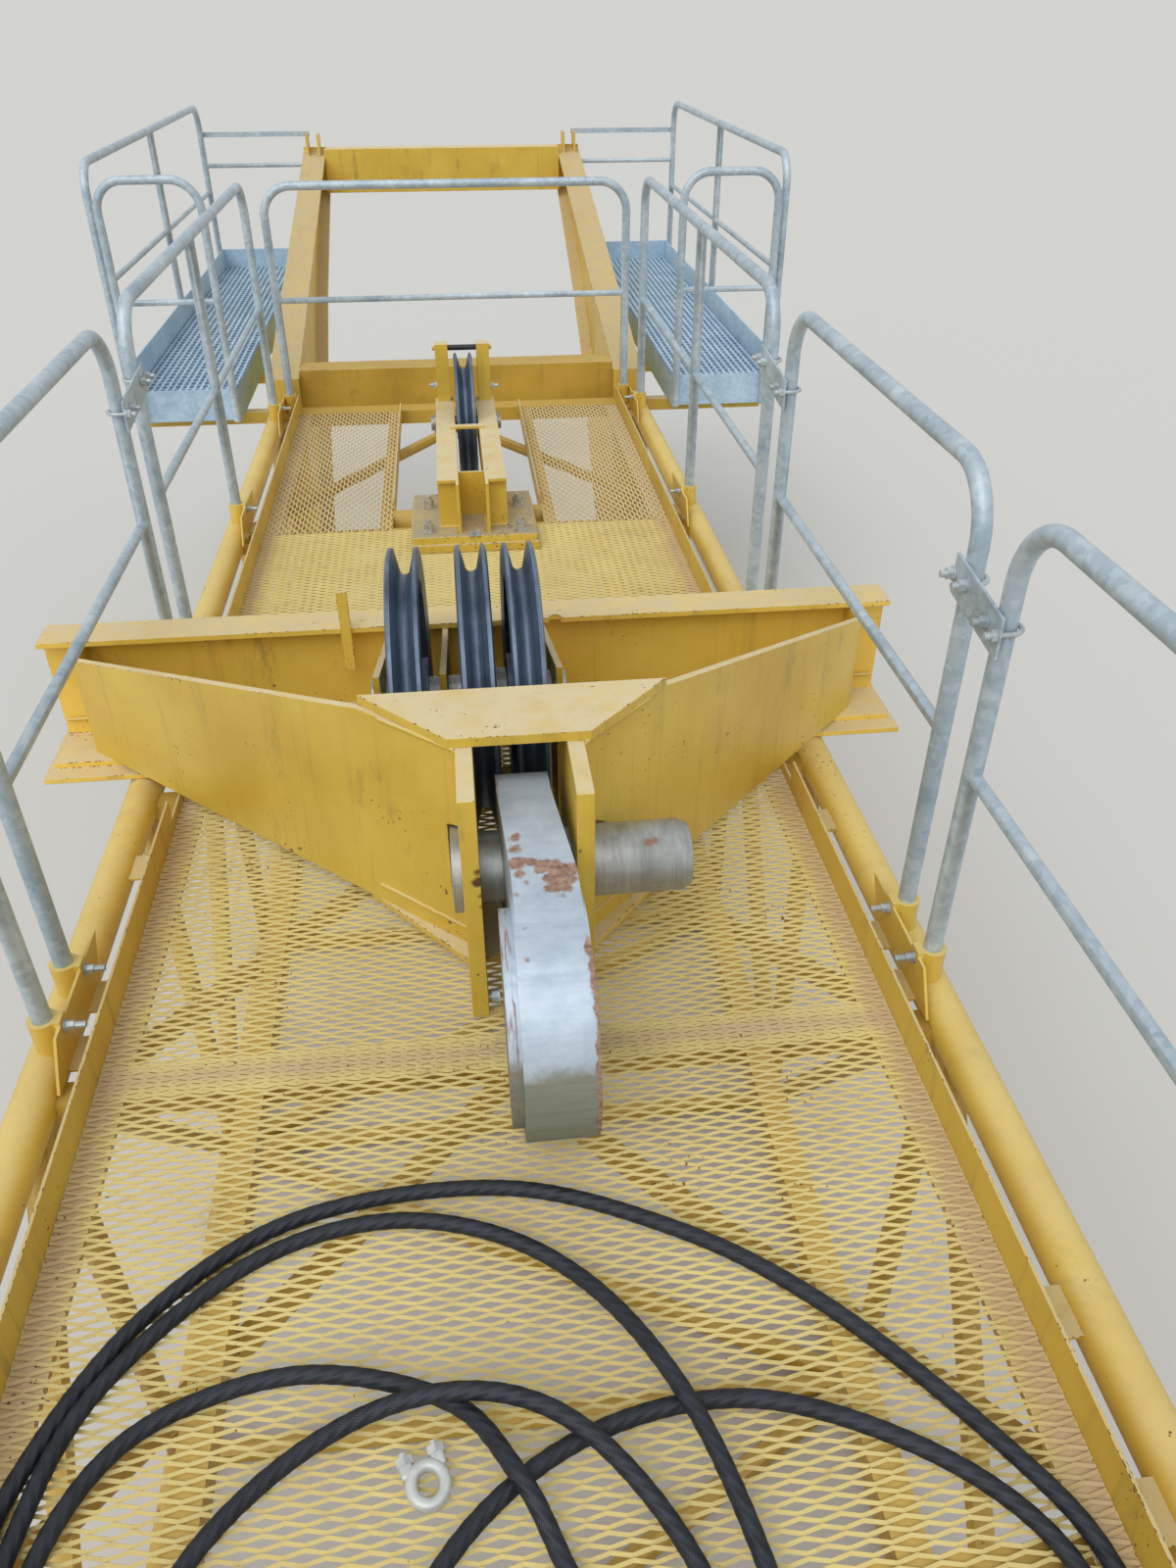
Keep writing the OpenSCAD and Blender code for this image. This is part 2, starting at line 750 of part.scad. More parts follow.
// Flat plates over and under the nose
module beam_top_plate() {
    color(yellow) {
        plate_z(nose_top, nose_t, [[beam_x - nose_front_x, nose_front_y - 10],
            [beam_x + nose_front_x, nose_front_y - 10], [beam_x + nose_back_x, nose_back_y],
            [beam_x - nose_back_x, nose_back_y]]);
        plate_z(foot_low + foot_t, foot_t, [[beam_x - nose_low_front, nose_low_y],
            [beam_x + nose_low_front, nose_low_y], [beam_x + nose_low_back, nose_back_y + 10],
            [beam_x - nose_low_back, nose_back_y + 10]]);
    }
}

module beam_lugs() {
    color(yellow) for (s = [left, right]) difference() {
        plate_x(s > 0 ? beam_x + lug_in : beam_x - lug_out, lug_t, [[lug_y, lug_low],
            [nose_low_y, lug_low], [nose_low_y, beam_low], [lug_back, beam_low],
            [lug_back, nose_top], [lug_y, nose_top]]);
        rod_x([beam_x - lug_out - 1, beam_x + lug_out + 1], pin_y, pin_z,
            pin_d + 2 * seat_gap);
    }
}

module beam_cheeks() {
    color(yellow) for (x = [cheek_1_x, cheek_2_x, cheek_3_x]) difference() {
        plate_x(x - cheek_t / 2, cheek_t, [[cheek_near, beam_low], [web_y, beam_low],
            [web_y, girder_top - foot_t], [flange_near - 10, girder_top - foot_t],
            [cheek_near, cheek_top]]);
        rod_x([x - cheek_t, x + cheek_t], sheave_y, sheave_z, axle_d + 2 * seat_gap);
    }
}

module beam_axle() {
    play = 2;
    washer_t = 10;
    washer_d = axle_d + 30;
    right_face = cheek_3_x + cheek_t / 2;
    left_face = cheek_1_x - cheek_t / 2;
    color(dark_steel) {
        rod_x([left_face - 2 * washer_t, right_face + 2 * washer_t], sheave_y, sheave_z, axle_d);
        rod_x([sheave_2_x + hub_w / 2 + play, sheave_3_x - hub_w / 2 - play],
            sheave_y, sheave_z, axle_d + 24);
        rod_x([right_face, right_face + washer_t], sheave_y, sheave_z, washer_d);
        rod_x([left_face - washer_t, left_face], sheave_y, sheave_z, washer_d);
    }
}

// A grooved rope wheel, turned about X
module sheave(at, r, w, bore, hub, hub_half) {
    rim = r - groove_depth - rim_floor;
    mouth = w / 2 - rim_lip;
    color(dark_steel) translate(at) rotate([0, 90, 0]) rotate_extrude($fn = 96) difference() {
        polygon([for (c = [[bore / 2, hub_half], [hub / 2, hub_half], [hub / 2, disc_half],
            [rim, disc_half], [rim + 14, w / 2 - 6], [r - rim_lip, w / 2], [r, w / 2 - 4]])
            [c[0], -c[1]], for (c = [[r, w / 2 - 4], [r - rim_lip, w / 2], [rim + 14, w / 2 - 6],
            [rim, disc_half], [hub / 2, disc_half], [hub / 2, hub_half], [bore / 2, hub_half]])
            c]);
        polygon([[r + 1, -mouth], [r + 1, mouth], [r - groove_depth + groove_r, groove_r],
            [r - groove_depth + groove_r, -groove_r]]);
        translate([r - groove_depth + groove_r, 0]) circle(groove_r);
    }
}

module beam_sheave(x) {
    sheave([x, sheave_y, sheave_z], sheave_r, sheave_w, axle_d + 2 * run_gap, hub_d,
        hub_w / 2);
}

module big_pin() {
    chamfer = 20;
    head = beam_x - lug_out - pin_head_t;
    color(silver) {
        rod_x([head, beam_x - lug_out], pin_y, pin_z, pin_d + 2 * collar_w);
        rod_x([head, pin_end - chamfer], pin_y, pin_z, pin_d);
        translate([pin_end - chamfer, pin_y, pin_z]) rotate([0, 90, 0])
            cylinder(h = chamfer, d1 = pin_d, d2 = pin_d - chamfer);
        rod_x([beam_x + lug_out, beam_x + lug_out + collar_t], pin_y, pin_z,
            pin_d + 2 * collar_w);
    }
}

// Outline of a strap round two eyes, between their outer tangents
function strap(a, ra, b, rb) = let (v = b - a, d = norm(v), lean = asin((rb - ra) / d),
    dir = atan2(v[1], v[0]), up = dir + 90 + lean, down = dir - 90 - lean)
    [a + ra * [cos(up), sin(up)], b + rb * [cos(up), sin(up)],
        b + rb * [cos(down), sin(down)], a + ra * [cos(down), sin(down)]];

module link() {
    back = [pin_y, pin_z];
    front = [link_eye_y, link_eye_z];
    ring_right = beam_x + lug_in - link_side_gap;
    ring_left = ring_right - link_front_t;
    core_left = beam_x + link_aside - link_core_t / 2;
    core_right = core_left + link_core_t;
    ring_back = link_eye_y + link_taper;
    core_back = pin_y + link_back_r + 1;
    color(silver) difference() {
        union() {
            intersection() {
                union() {
                    plate_x(core_left, ring_right - core_left,
                        strap(back, link_back_r, front, link_front_r));
                    rod_x([core_left, ring_right], back[0], back[1], 2 * link_back_r);
                }
                plate_z(link_eye_z - 2 * link_front_r, 4 * link_front_r, [
                    [core_left, core_back], [core_left, pin_y],
                    [ring_left + link_step, ring_back], [ring_left + link_step, link_eye_y],
                    [ring_right - link_step, link_eye_y], [ring_right - link_step, ring_back],
                    [core_right, pin_y], [core_right, core_back]]);
            }
            rod_x([ring_left, ring_right], front[0], front[1], 2 * link_front_r);
            rod_x([ring_left - link_cheek_t, ring_left], front[0], front[1],
                2 * link_cheek_r);
        }
        rod_x([core_left - 1, ring_right + 1], back[0], back[1], pin_d + 2 * pin_gap);
        rod_x([ring_left - link_cheek_t - 1, ring_right + 1], front[0], front[1], link_bore);
    }
}

module stand_base() {
    inset = 8;
    color(yellow) for (i = [0, 1])
        block([stand_x - base_w / 2 + inset * i, stand_x + base_w / 2 - inset * i],
            [stand_y + inset * i, stand_y + base_l - inset * i],
            [base_t * i, base_t * (i + 1)]);
}

// Two channel arms, their front and cross plates and the tall plates at the sheave
module stand_arms() {
    top_y = stand_y + 85;
    web_in_y = stand_y + 35;
    front_y = stand_y + 105;
    centre_y = stand_y + centre_in;
    batten = [4790, 4825];
    tall_y = arm_end - 60;
    tall_in = arm_in + arm_wall + 1;
    color(yellow) difference() {
        union() {
            for (s = [left, right]) translate([stand_x, 0, 0]) side(s) {
                block([arm_in, arm_out], [top_y, arm_end], [arm_top - arm_wall, arm_top]);
                block([arm_in, arm_in + arm_wall], [web_in_y, arm_end], [arm_low, arm_top]);
                block([arm_out - arm_wall, arm_out], [front_y, arm_end], [arm_low, arm_top]);
                block([arm_in, arm_out], [front_y, front_y + arm_wall], [arm_low, arm_top]);
                block([tall_in, arm_out - arm_wall], [tall_y, arm_end], [arm_top, keeper_z + 20]);
                block([arm_in, arm_out], [arm_end - arm_wall, arm_end], [arm_low, arm_top]);
            }
            block([stand_x - arm_in, stand_x + arm_in], [centre_y, centre_y + arm_wall],
                [arm_low, arm_top - 20]);
            block([stand_x - arm_in - 20, stand_x + arm_in + 20], batten,
                [arm_top, arm_top + 10]);
            rod_x([stand_x - arm_out, stand_x + arm_out], (tall_y + arm_end) / 2, keeper_z,
                keeper_d);
        }
        rod_x([stand_x - arm_out - 1, stand_x + arm_out + 1], stand_axle_y, stand_axle_z,
            stand_axle_d + 2 * seat_gap);
    }
}

module stand_axle() {
    color(silver) {
        rod_x([stand_x - arm_out - 25, stand_x + arm_out + 25], stand_axle_y, stand_axle_z,
            stand_axle_d);
        for (s = [left, right]) translate([stand_x, 0, 0]) side(s)
            rod_x([arm_out, arm_out + 12], stand_axle_y, stand_axle_z, stand_axle_d + 26);
    }
}

module stand_sheave() {
    sheave([stand_x, stand_axle_y, stand_axle_z], stand_r, stand_sheave_w,
        stand_axle_d + 2 * run_gap, stand_hub_d, stand_hub_w / 2);
}

// One tapered tail girder: web, flanges, root plate and tip plate
module tail_girder(s) {
    n = len(tail_under) - 1;
    girder_far = tip_y - plate_t;
    side(s) color(yellow) {
        plate_x(tail_web_in, tail_web_t, concat(tail_under,
            [[girder_far, girder_z(girder_far)], [girder_near, girder_z(girder_near)]]));
        plate_x(tail_in, tail_flange_w, [[girder_near, girder_z(girder_near)],
            [girder_far, girder_z(girder_far)], [girder_far, girder_z(girder_far) - tail_flange_t],
            [girder_near, girder_z(girder_near) - tail_flange_t]]);
        plate_x(tail_in, tail_flange_w, concat(tail_under,
            [for (i = [n : -1 : 0]) tail_under[i] + [0, tail_flange_t * (i > 1 ? 1.25 : 1)]]));
        block([tail_in, chord_x + chord_d / 2], [root_y, girder_near],
            [-deck_h, girder_z(girder_near)]);
        block([tail_in, tail_out], [girder_far, tip_y],
            [tail_top_far - tip_depth, tail_top_far + tip_lug_t]);
        for (x = [tail_in + 2 * tip_lug_t, tail_out - 3 * tip_lug_t])
            block([x, x + tip_lug_t], [tip_lug_y, tip_y],
                [tail_top_far - 40, tail_top_far + tip_lug_h]);
    }
}

module tail_cross_near() {
    top = girder_z(cross_near_y) + 10;
    color(yellow) {
        block([-tail_web_in, tail_web_in], [cross_near_y, cross_near_y + tail_web_t],
            [cross_near_low, top - 40]);
        block([-tail_in, tail_in], [cross_near_y, cross_near_y + tail_web_t],
            [cross_near_low, top]);
        block([-tail_in, tail_in], [cross_near_y, cross_near_y + tail_flange_w],
            [top - tail_flange_t, top]);
        block([-tail_web_in, tail_web_in], [cross_near_y, cross_near_y + tail_flange_w],
            [cross_near_low, cross_near_low + tail_flange_t]);
    }
}

module tail_cross_far() {
    top = tail_top_far + tip_lug_t;
    color(yellow) {
        block([-tail_in, tail_in], [cross_far_y, cross_far_y + tail_web_t],
            [top - cross_far_h, top]);
        for (z = [top - cross_far_h, top - tail_flange_t])
            block([-tail_in, tail_in], [cross_far_y, tip_y], [z, z + tail_flange_t]);
    }
}

module catwalk(s) {
    side(s) color(galvanised) {
        for (x = [cat_in, cat_in + (cat_w + plank_gap) / 2]) {
            w = (cat_w - plank_gap) / 2;
            block([x, x + w], [cat_near, tip_y], [cat_z - plank_t, cat_z]);
            for (e = [x, x + w - plank_t])
                block([e, e + plank_t], [cat_near, tip_y], [cat_z - plank_h, cat_z]);
        }
        block([cat_in, cat_in + plank_t], [cat_near, tip_y], [end_plate_low, cat_z]);
        block([cat_in, cat_out + kick_t], [cat_near - kick_t, cat_near],
            [end_plate_low, cat_z + 4]);
        block([cat_out, cat_out + kick_t], [cat_near, tip_y],
            [end_plate_low, cat_z + kick_h]);
        block([cat_in, cat_out + kick_t], [tip_y, tip_y + kick_t],
            [end_plate_low, cat_z + kick_h]);
    }
}

// Arms under a catwalk, the far one on a hanger from the girder's tip
module catwalk_outriggers(s) {
    far = outrigger_ys[len(outrigger_ys) - 1];
    side(s) color(yellow) {
        for (y = outrigger_ys)
            block([y == far ? tail_out : tail_web_out, cat_out + kick_t],
                [y - outrigger_h / 2, y + outrigger_h / 2],
                [outrigger_top - outrigger_h, outrigger_top]);
        block([tail_out, tail_out + hanger_t], [far - hanger_w / 2, far + hanger_w / 2],
            [outrigger_top - outrigger_h, girder_z(far) - 60]);
    }
}

module catwalk_rail(s) {
    foot = outrigger_top;
    rail_len = post_ys[2] - post_ys[0];
    side(s) color(galvanised) {
        along(rail_out_x, post_ys[0]) hoop(rail_len, foot, cat_rail_h, [cat_mid_h],
            [post_ys[1] - post_ys[0]]);
        across(cat_in + rail_d / 2, hoop_y)
            hoop(cat_w - rail_d, end_plate_low, rail_h, [mid_h], []);
        block([tail_out - 50, rail_out_x + rail_d / 2], [tip_y, tip_y + kick_t],
            [tie_z - tie_h / 2, tie_z + tie_h / 2]);
        across(tail_out, post_ys[2]) run([0, rail_out_x - tail_out], tie_tube_z, mid_d);
    }
}

// The rope: rings of eight points along the smooth curve
module rope() {
    sides = 8;
    rings = [for (i = [0 : rope_rings - 1])
        let (t = i * (len(rope_route) - 1) / (rope_rings - 1), q = smooth(rope_route, t),
            p = [q[0], q[1], max(q[2], rope_z)],
            v = smooth(rope_route, min(t + 0.05, len(rope_route) - 1))
                - smooth(rope_route, max(t - 0.05, 0)),
            d = v / norm(v), across_v = cross(d, [0, 0, 1]), n = across_v / norm(across_v),
            up = cross(n, d))
        for (k = [0 : sides - 1])
            p + rope_d / 2 * (n * cos(360 * k / sides) + up * sin(360 * k / sides))];
    caps = [[for (k = [0 : sides - 1]) k],
        [for (k = [sides - 1 : -1 : 0]) (rope_rings - 1) * sides + k]];
    skin = [for (i = [0 : rope_rings - 2]) for (k = [0 : sides - 1])
        [i * sides + k, (i + 1) * sides + k, (i + 1) * sides + (k + 1) % sides,
            i * sides + (k + 1) % sides]];
    color("#23252b") polyhedron(rings, concat(caps, skin), convexity = 10);
}

// A forged rope clip that lies flat on the deck: U-bolt, saddle and two nuts
module rope_clip() {
    saddle = [70, 28, 22];
    saddle_y = 14;
    seat_out = 5;
    bolt_d = 14;
    bolt_x = 22;
    bolt_z = 11;
    bolt_end = 60;
    nut = [26, 12];
    color(silver) translate(clip_at) rotate([0, 0, clip_turn]) {
        difference() {
            block([-saddle[0] / 2, saddle[0] / 2], [saddle_y, saddle_y + saddle[1]],
                [0, saddle[2]]);
            rod_z(0, saddle_y - seat_out, [-1, saddle[2] + 1], rope_d);
        }
        for (s = [left, right]) side(s) {
            rod_y(bolt_x, [0, bolt_end], bolt_z, bolt_d);
            translate([bolt_x, saddle_y + saddle[1], bolt_z]) rotate([-90, 0, 0])
                cylinder(h = nut[1], d = nut[0], $fn = 6);
        }
        translate([0, 0, bolt_z]) rotate([0, 0, 180])
            rotate_extrude(angle = 180) translate([bolt_x, 0]) circle(d = bolt_d);
    }
}

at_row() chord(left, chord_top_z);  // chord_top_left
at_row() chord(right, chord_top_z);  // chord_top_right
at_row() chord(left, chord_low_z);  // chord_bottom_left
at_row() chord(right, chord_low_z);  // chord_bottom_right
at_row() side_lattice(left);  // side_lattice_left
at_row() side_lattice(right);  // side_lattice_right
at_row() bottom_lattice();
at_row() deck_bearers();
at_row() well_bearers();
at_row() deck_bracing();
at_row() deck_sheet([-half_w, half_w], [near_end, joint_y], sheet_columns, sheet_rows);  // deck_mesh_near
at_row() deck_sheet([-half_w, half_w], [joint_y, well_near], sheet_columns, sheet_rows);  // deck_mesh_mid
at_row() deck_mesh_rear(left);  // deck_mesh_rear_left
at_row() deck_mesh_rear(right);  // deck_mesh_rear_right
at_row() toe_board(left);  // toe_board_left
at_row() toe_board(right);  // toe_board_right
at_row() well_toe_boards();
at_row() rail_sockets(left);  // rail_sockets_left
at_row() rail_sockets(right);  // rail_sockets_right
at_row() deck_rail(left, rail_near_y, socket_ys[0], [rail_near_post]);  // rail_near_left
at_row() deck_rail(right, rail_near_y, socket_ys[0], [rail_near_post]);  // rail_near_right
at_row() deck_rail(left, socket_ys[1], socket_ys[2], []);  // rail_mid_left
at_row() deck_rail(right, socket_ys[1], socket_ys[2], []);  // rail_mid_right
at_row() deck_rail(left, socket_ys[3], socket_ys[5], [socket_ys[4]]);  // rail_far_left
at_row() deck_rail(right, socket_ys[3], socket_ys[5], [socket_ys[4]]);  // rail_far_right
at_row() rail_end();
at_row() rail_splices();
at_row() beam_girder();
at_row() beam_wings();
at_row() beam_top_plate();
at_row() beam_lugs();
at_row() beam_cheeks();
at_row() beam_axle();
at_row() beam_sheave(sheave_1_x);  // beam_sheave_1
at_row() beam_sheave(sheave_2_x);  // beam_sheave_2
at_row() beam_sheave(sheave_3_x);  // beam_sheave_3
at_row() big_pin();
at_row() link();
at_row() stand_base();
at_row() stand_arms();
at_row() stand_axle();
at_row() stand_sheave();
at_row() tail_girder(left);  // tail_girder_left
at_row() tail_girder(right);  // tail_girder_right
at_row() tail_cross_near();
at_row() tail_cross_far();
at_row() catwalk(left);  // catwalk_left
at_row() catwalk(right);  // catwalk_right
at_row() catwalk_outriggers(left);  // catwalk_outriggers_left
at_row() catwalk_outriggers(right);  // catwalk_outriggers_right
at_row() catwalk_rail(left);  // catwalk_rail_left
at_row() catwalk_rail(right);  // catwalk_rail_right
at_row() rope();
at_row() rope_clip();
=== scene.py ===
import functools
import math
import bpy
import bmesh
from mathutils import Matrix, Vector


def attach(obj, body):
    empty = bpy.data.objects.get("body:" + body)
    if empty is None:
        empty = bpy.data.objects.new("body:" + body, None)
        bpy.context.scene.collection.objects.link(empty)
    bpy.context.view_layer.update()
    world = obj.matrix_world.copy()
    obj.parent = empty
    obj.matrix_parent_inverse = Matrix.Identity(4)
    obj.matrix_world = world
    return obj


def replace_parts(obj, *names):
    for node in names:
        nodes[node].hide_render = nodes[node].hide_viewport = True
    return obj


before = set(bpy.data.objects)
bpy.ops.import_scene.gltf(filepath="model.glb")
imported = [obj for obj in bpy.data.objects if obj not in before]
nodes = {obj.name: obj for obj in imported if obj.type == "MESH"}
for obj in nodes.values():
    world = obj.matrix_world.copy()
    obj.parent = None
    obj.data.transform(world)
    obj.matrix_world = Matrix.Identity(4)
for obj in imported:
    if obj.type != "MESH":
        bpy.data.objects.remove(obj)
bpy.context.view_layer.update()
scene = bpy.context.scene

# Measures are written as in the CAD source: millimetres, with Y and z from the deck's first line.
deckStart = 3920.75
deckHeight = 1500.0


def deckPoint(x, y, z):
    return Vector((x, y - deckStart, z + deckHeight)) / 1000


def linear(code):
    # sRGB hex to the linear colour that nodes take
    channels = [int(code[i:i + 2], 16) / 255 for i in (1, 3, 5)]
    return (*[c / 12.92 if c <= 0.04045 else ((c + 0.055) / 1.055) ** 2.4 for c in channels], 1.0)


def feed(node, inputs):
    # sets sockets from values, or links them to a socket or to a node's first live output
    for key, value in inputs.items():
        if isinstance(value, bpy.types.Node):
            value = next(socket for socket in value.outputs if socket.enabled)
        if isinstance(value, bpy.types.NodeSocket):
            node.id_data.links.new(value, node.inputs[key])
        else:
            node.inputs[key].default_value = value


def addNode(tree, kind, settings=None, inputs=None):
    # adds a node, gives it its own settings, then its inputs
    node = tree.nodes.new(kind)
    for key, value in (settings or {}).items():
        setattr(node, key, value)
    feed(node, inputs or {})
    return node


# kinds of node that come up often, each with its settings
mixColour = ("ShaderNodeMix", {"data_type": "RGBA"})
times = ("ShaderNodeMath", {"operation": "MULTIPLY"})
timesPlus = ("ShaderNodeMath", {"operation": "MULTIPLY_ADD"})
absolute = ("ShaderNodeMath", {"operation": "ABSOLUTE"})
fade = ("ShaderNodeMapRange", {})
noiseAt = ("ShaderNodeTexNoise", {})
splitAxes = ("ShaderNodeSeparateXYZ", {})
joinAxes = ("ShaderNodeCombineXYZ", {})


# ---- camera: stands on the deck, looks down and a little to the right
view = {"at": (-20, 0, 1748), "focal": 1170, "down": 809, "aside": 162, "height": 1600}
cameraData = bpy.data.cameras.new("camera")
camera = bpy.data.objects.new("camera", cameraData)
scene.collection.objects.link(camera)
scene.camera = camera
cameraData.sensor_fit = "VERTICAL"
cameraData.sensor_height = 36
cameraData.lens = 36 * view["focal"] / view["height"]
cameraData.clip_end = 2000
pitch = math.atan(view["down"] / view["focal"])
yaw = math.atan(view["aside"] * math.cos(pitch) / view["focal"])
sight = Vector((math.sin(yaw) * math.cos(pitch), math.cos(yaw) * math.cos(pitch), -math.sin(pitch)))
camera.location = deckPoint(*view["at"])
camera.rotation_euler = sight.to_track_quat("-Z", "Y").to_euler()
print("camera placed")


# ---- finishes
def raggedSpot(add, coords, spot, ragged):
    # a patch with a torn outline round one point of the object, 1 inside and 0 outside
    near = add("ShaderNodeVectorMath", {"operation": "DISTANCE"},
        {0: coords, 1: tuple(deckPoint(*spot[:3]))})
    rough = add(*noiseAt, {"Vector": coords, "Scale": 45.0, "Detail": 6.0})
    far = add(*timesPlus, {0: rough, 1: ragged, 2: near.outputs["Value"]})
    edge = spot[3] + 0.5 * ragged
    return add(*fade, {0: far, 1: edge, 2: edge - 0.006})


def largest(add, shares):
    # where several shares overlap, the largest one holds
    result = shares[0]
    for share in shares[1:]:
        result = add("ShaderNodeMath", {"operation": "MAXIMUM"}, {0: result, 1: share})
    return result


def startFinish(name):
    material = bpy.data.materials.new(name)
    material.use_nodes = True
    add = functools.partial(addNode, material.node_tree)
    coords = add("ShaderNodeTexCoord").outputs["Object"]
    return material, add, material.node_tree.nodes["Principled BSDF"], coords


def brushedEnamel(name, look):
    # alkyd enamel, brushed and sprayed on rolled steel in a yard: satin, with dust that
    # settles on upward faces, runs of dirt on upright ones and chips down to rusty steel
    material, add, shader, coords = startFinish(name)
    broad = add(*noiseAt, {"Vector": coords, "Scale": 2.3, "Detail": 5.0, "Roughness": 0.6})
    tone = add(*fade, {0: broad, 1: 0.36, 2: 0.64})
    paint = add(*mixColour, {0: tone, 6: linear(look["paintDeep"]), 7: linear(look["paint"])})
    # dirt runs, 16 times as tall as wide, then smudges of 60 to 150 mm that hands and ropes leave
    dirty = paint
    for stretch, detail, rough, start, end, share in (
            ((21.0, 21.0, 1.3), 5.0, 0.65, 0.56, 0.80, look["runs"]),
            ((8.0, 8.0, 3.0), 7.0, 0.72, 0.58, 0.76, look["smudges"])):
        upright = add("ShaderNodeMapping", {}, {"Vector": coords, "Scale": stretch})
        marks = add(*noiseAt, {"Vector": upright, "Scale": 1.0, "Detail": detail,
            "Roughness": rough})
        marked = add(*fade, {0: marks, 1: start, 2: end, 4: share})
        dirty = add(*mixColour, {0: marked, 6: dirty, 7: linear(look["grime"])})
    # dust lies where the face looks up
    facing = add(*splitAxes, {0: add("ShaderNodeNewGeometry").outputs["Normal"]})
    up = add("ShaderNodeMapRange", {"interpolation_type": "SMOOTHSTEP"},
        {0: facing.outputs[2], 1: 0.35, 2: 0.95, 4: look["dustShare"]})
    powder = add(*noiseAt, {"Vector": coords, "Scale": 13.0, "Detail": 7.0, "Roughness": 0.7})
    settled = add(*fade, {0: powder, 1: 0.22, 2: 0.55, 3: 0.35})
    dust = add(*times, {0: up, 1: settled})
    dusty = add(*mixColour, {0: dust, 6: dirty, 7: linear(look["dust"])})
    # trodden soil where two sheets lie on each other
    if "soilStrip" in look:
        # it also gathers along the toe boards, on both sides of the deck
        place = add(*splitAxes, {0: coords})
        side = add(*absolute, {0: place})
        torn = add(*timesPlus, {0: powder, 1: 0.09, 2: side})
        inner, outer = look["soilStrip"]
        entered = add(*fade, {0: torn, 1: inner + 0.03, 2: inner + 0.06, 4: look["soilShare"]})
        inside = add("ShaderNodeMath", {"operation": "LESS_THAN"}, {0: side, 1: outer})
        strip = add(*times, {0: entered, 1: inside})
        dusty = add(*mixColour, {0: strip, 6: dusty, 7: linear(look["soil"])})
    if "soilAt" in look:
        place = add(*splitAxes, {0: coords})
        off = add("ShaderNodeMath", {"operation": "SUBTRACT"},
            {0: place.outputs[1], 1: deckPoint(0, look["soilAt"], 0).y})
        away = add(*absolute, {0: off})
        torn = add(*timesPlus, {0: powder, 1: 0.07, 2: away})
        soil = add(*fade, {0: torn, 1: look["soilReach"] + 0.035, 2: look["soilReach"] + 0.005,
            4: look["soilShare"]})
        dusty = add(*mixColour, {0: soil, 6: dusty, 7: linear(look["soil"])})
    # chips of 3 to 12 mm, in a few bare areas
    chipGrain = add(*noiseAt, {"Vector": coords, "Scale": look["chipScale"], "Detail": 3.0,
        "Roughness": 0.5})
    area = add(*noiseAt, {"Vector": coords, "Scale": 5.0, "Detail": 2.0})
    wear = add(*timesPlus, {0: area, 1: 0.45, 2: chipGrain})
    flakes = add(*fade, {0: wear, 1: look["chipFrom"], 2: look["chipFrom"] + 0.018})
    chips = largest(add, [flakes] + [
        raggedSpot(add, coords, spot, 0.016) for spot in look.get("knocks", [])])
    bare = add(*mixColour, {0: chipGrain, 6: linear("#2E2118"), 7: linear("#8A5A38")})
    colour = add(*mixColour, {0: chips, 6: dusty, 7: bare})
    dullness = add(*fade, {0: dust, 3: look["roughness"], 4: 0.82})
    patchy = add(*timesPlus, {0: powder, 1: 0.22, 2: dullness})
    lessGloss = add("ShaderNodeMath", {"operation": "SUBTRACT", "use_clamp": True},
        {0: patchy, 1: 0.11})
    # orange peel of 3 mm and the step down into a chip
    peel = add(*noiseAt, {"Vector": coords, "Scale": 330.0, "Detail": 2.0})
    height = add(*timesPlus, {0: chips, 1: -1.4, 2: peel})
    bump = add("ShaderNodeBump", {}, {"Strength": 0.35, "Distance": 0.0007, "Height": height})
    feed(shader, {"Base Color": colour, "Roughness": lessGloss, "Normal": bump})
    return material


def hotDipZinc(name, look):
    # hot-dip galvanised steel, some years old: a matt blue-grey skin with faint spangles
    # about 15 mm across, paler runs, and brown bleed where it is scratched
    material, add, shader, coords = startFinish(name)
    spangle = add("ShaderNodeTexVoronoi", {}, {"Vector": coords, "Scale": 62.0, "Randomness": 1.0})
    cloud = add(*noiseAt, {"Vector": coords, "Scale": 6.5, "Detail": 7.0, "Roughness": 0.65})
    grey = add("ShaderNodeSeparateColor", {}, {0: spangle.outputs["Color"]})
    blend = add(*timesPlus, {0: grey, 1: 0.22, 2: cloud})
    tone = add(*fade, {0: blend, 1: 0.35, 2: 0.85})
    zinc = add(*mixColour, {0: tone, 6: linear(look["deep"]), 7: linear(look["pale"])})
    blot = add(*noiseAt, {"Vector": coords, "Scale": 11.0, "Detail": 8.0, "Roughness": 0.75})
    rustShare = add(*fade, {0: blot, 1: look["rustFrom"], 2: look["rustFrom"] + 0.09, 4: 0.85})
    colour = add(*mixColour, {0: rustShare, 6: zinc, 7: linear(look["rust"])})
    rough = add(*fade, {
        0: blend, 1: 0.3, 2: 0.9, 3: look["roughness"], 4: look["roughness"] + 0.18})
    bump = add("ShaderNodeBump", {}, {"Strength": 0.25, "Distance": 0.0006, "Height": blot})
    feed(shader, {"Base Color": colour, "Roughness": rough, "Normal": bump,
        "Metallic": look["metallic"]})
    return material


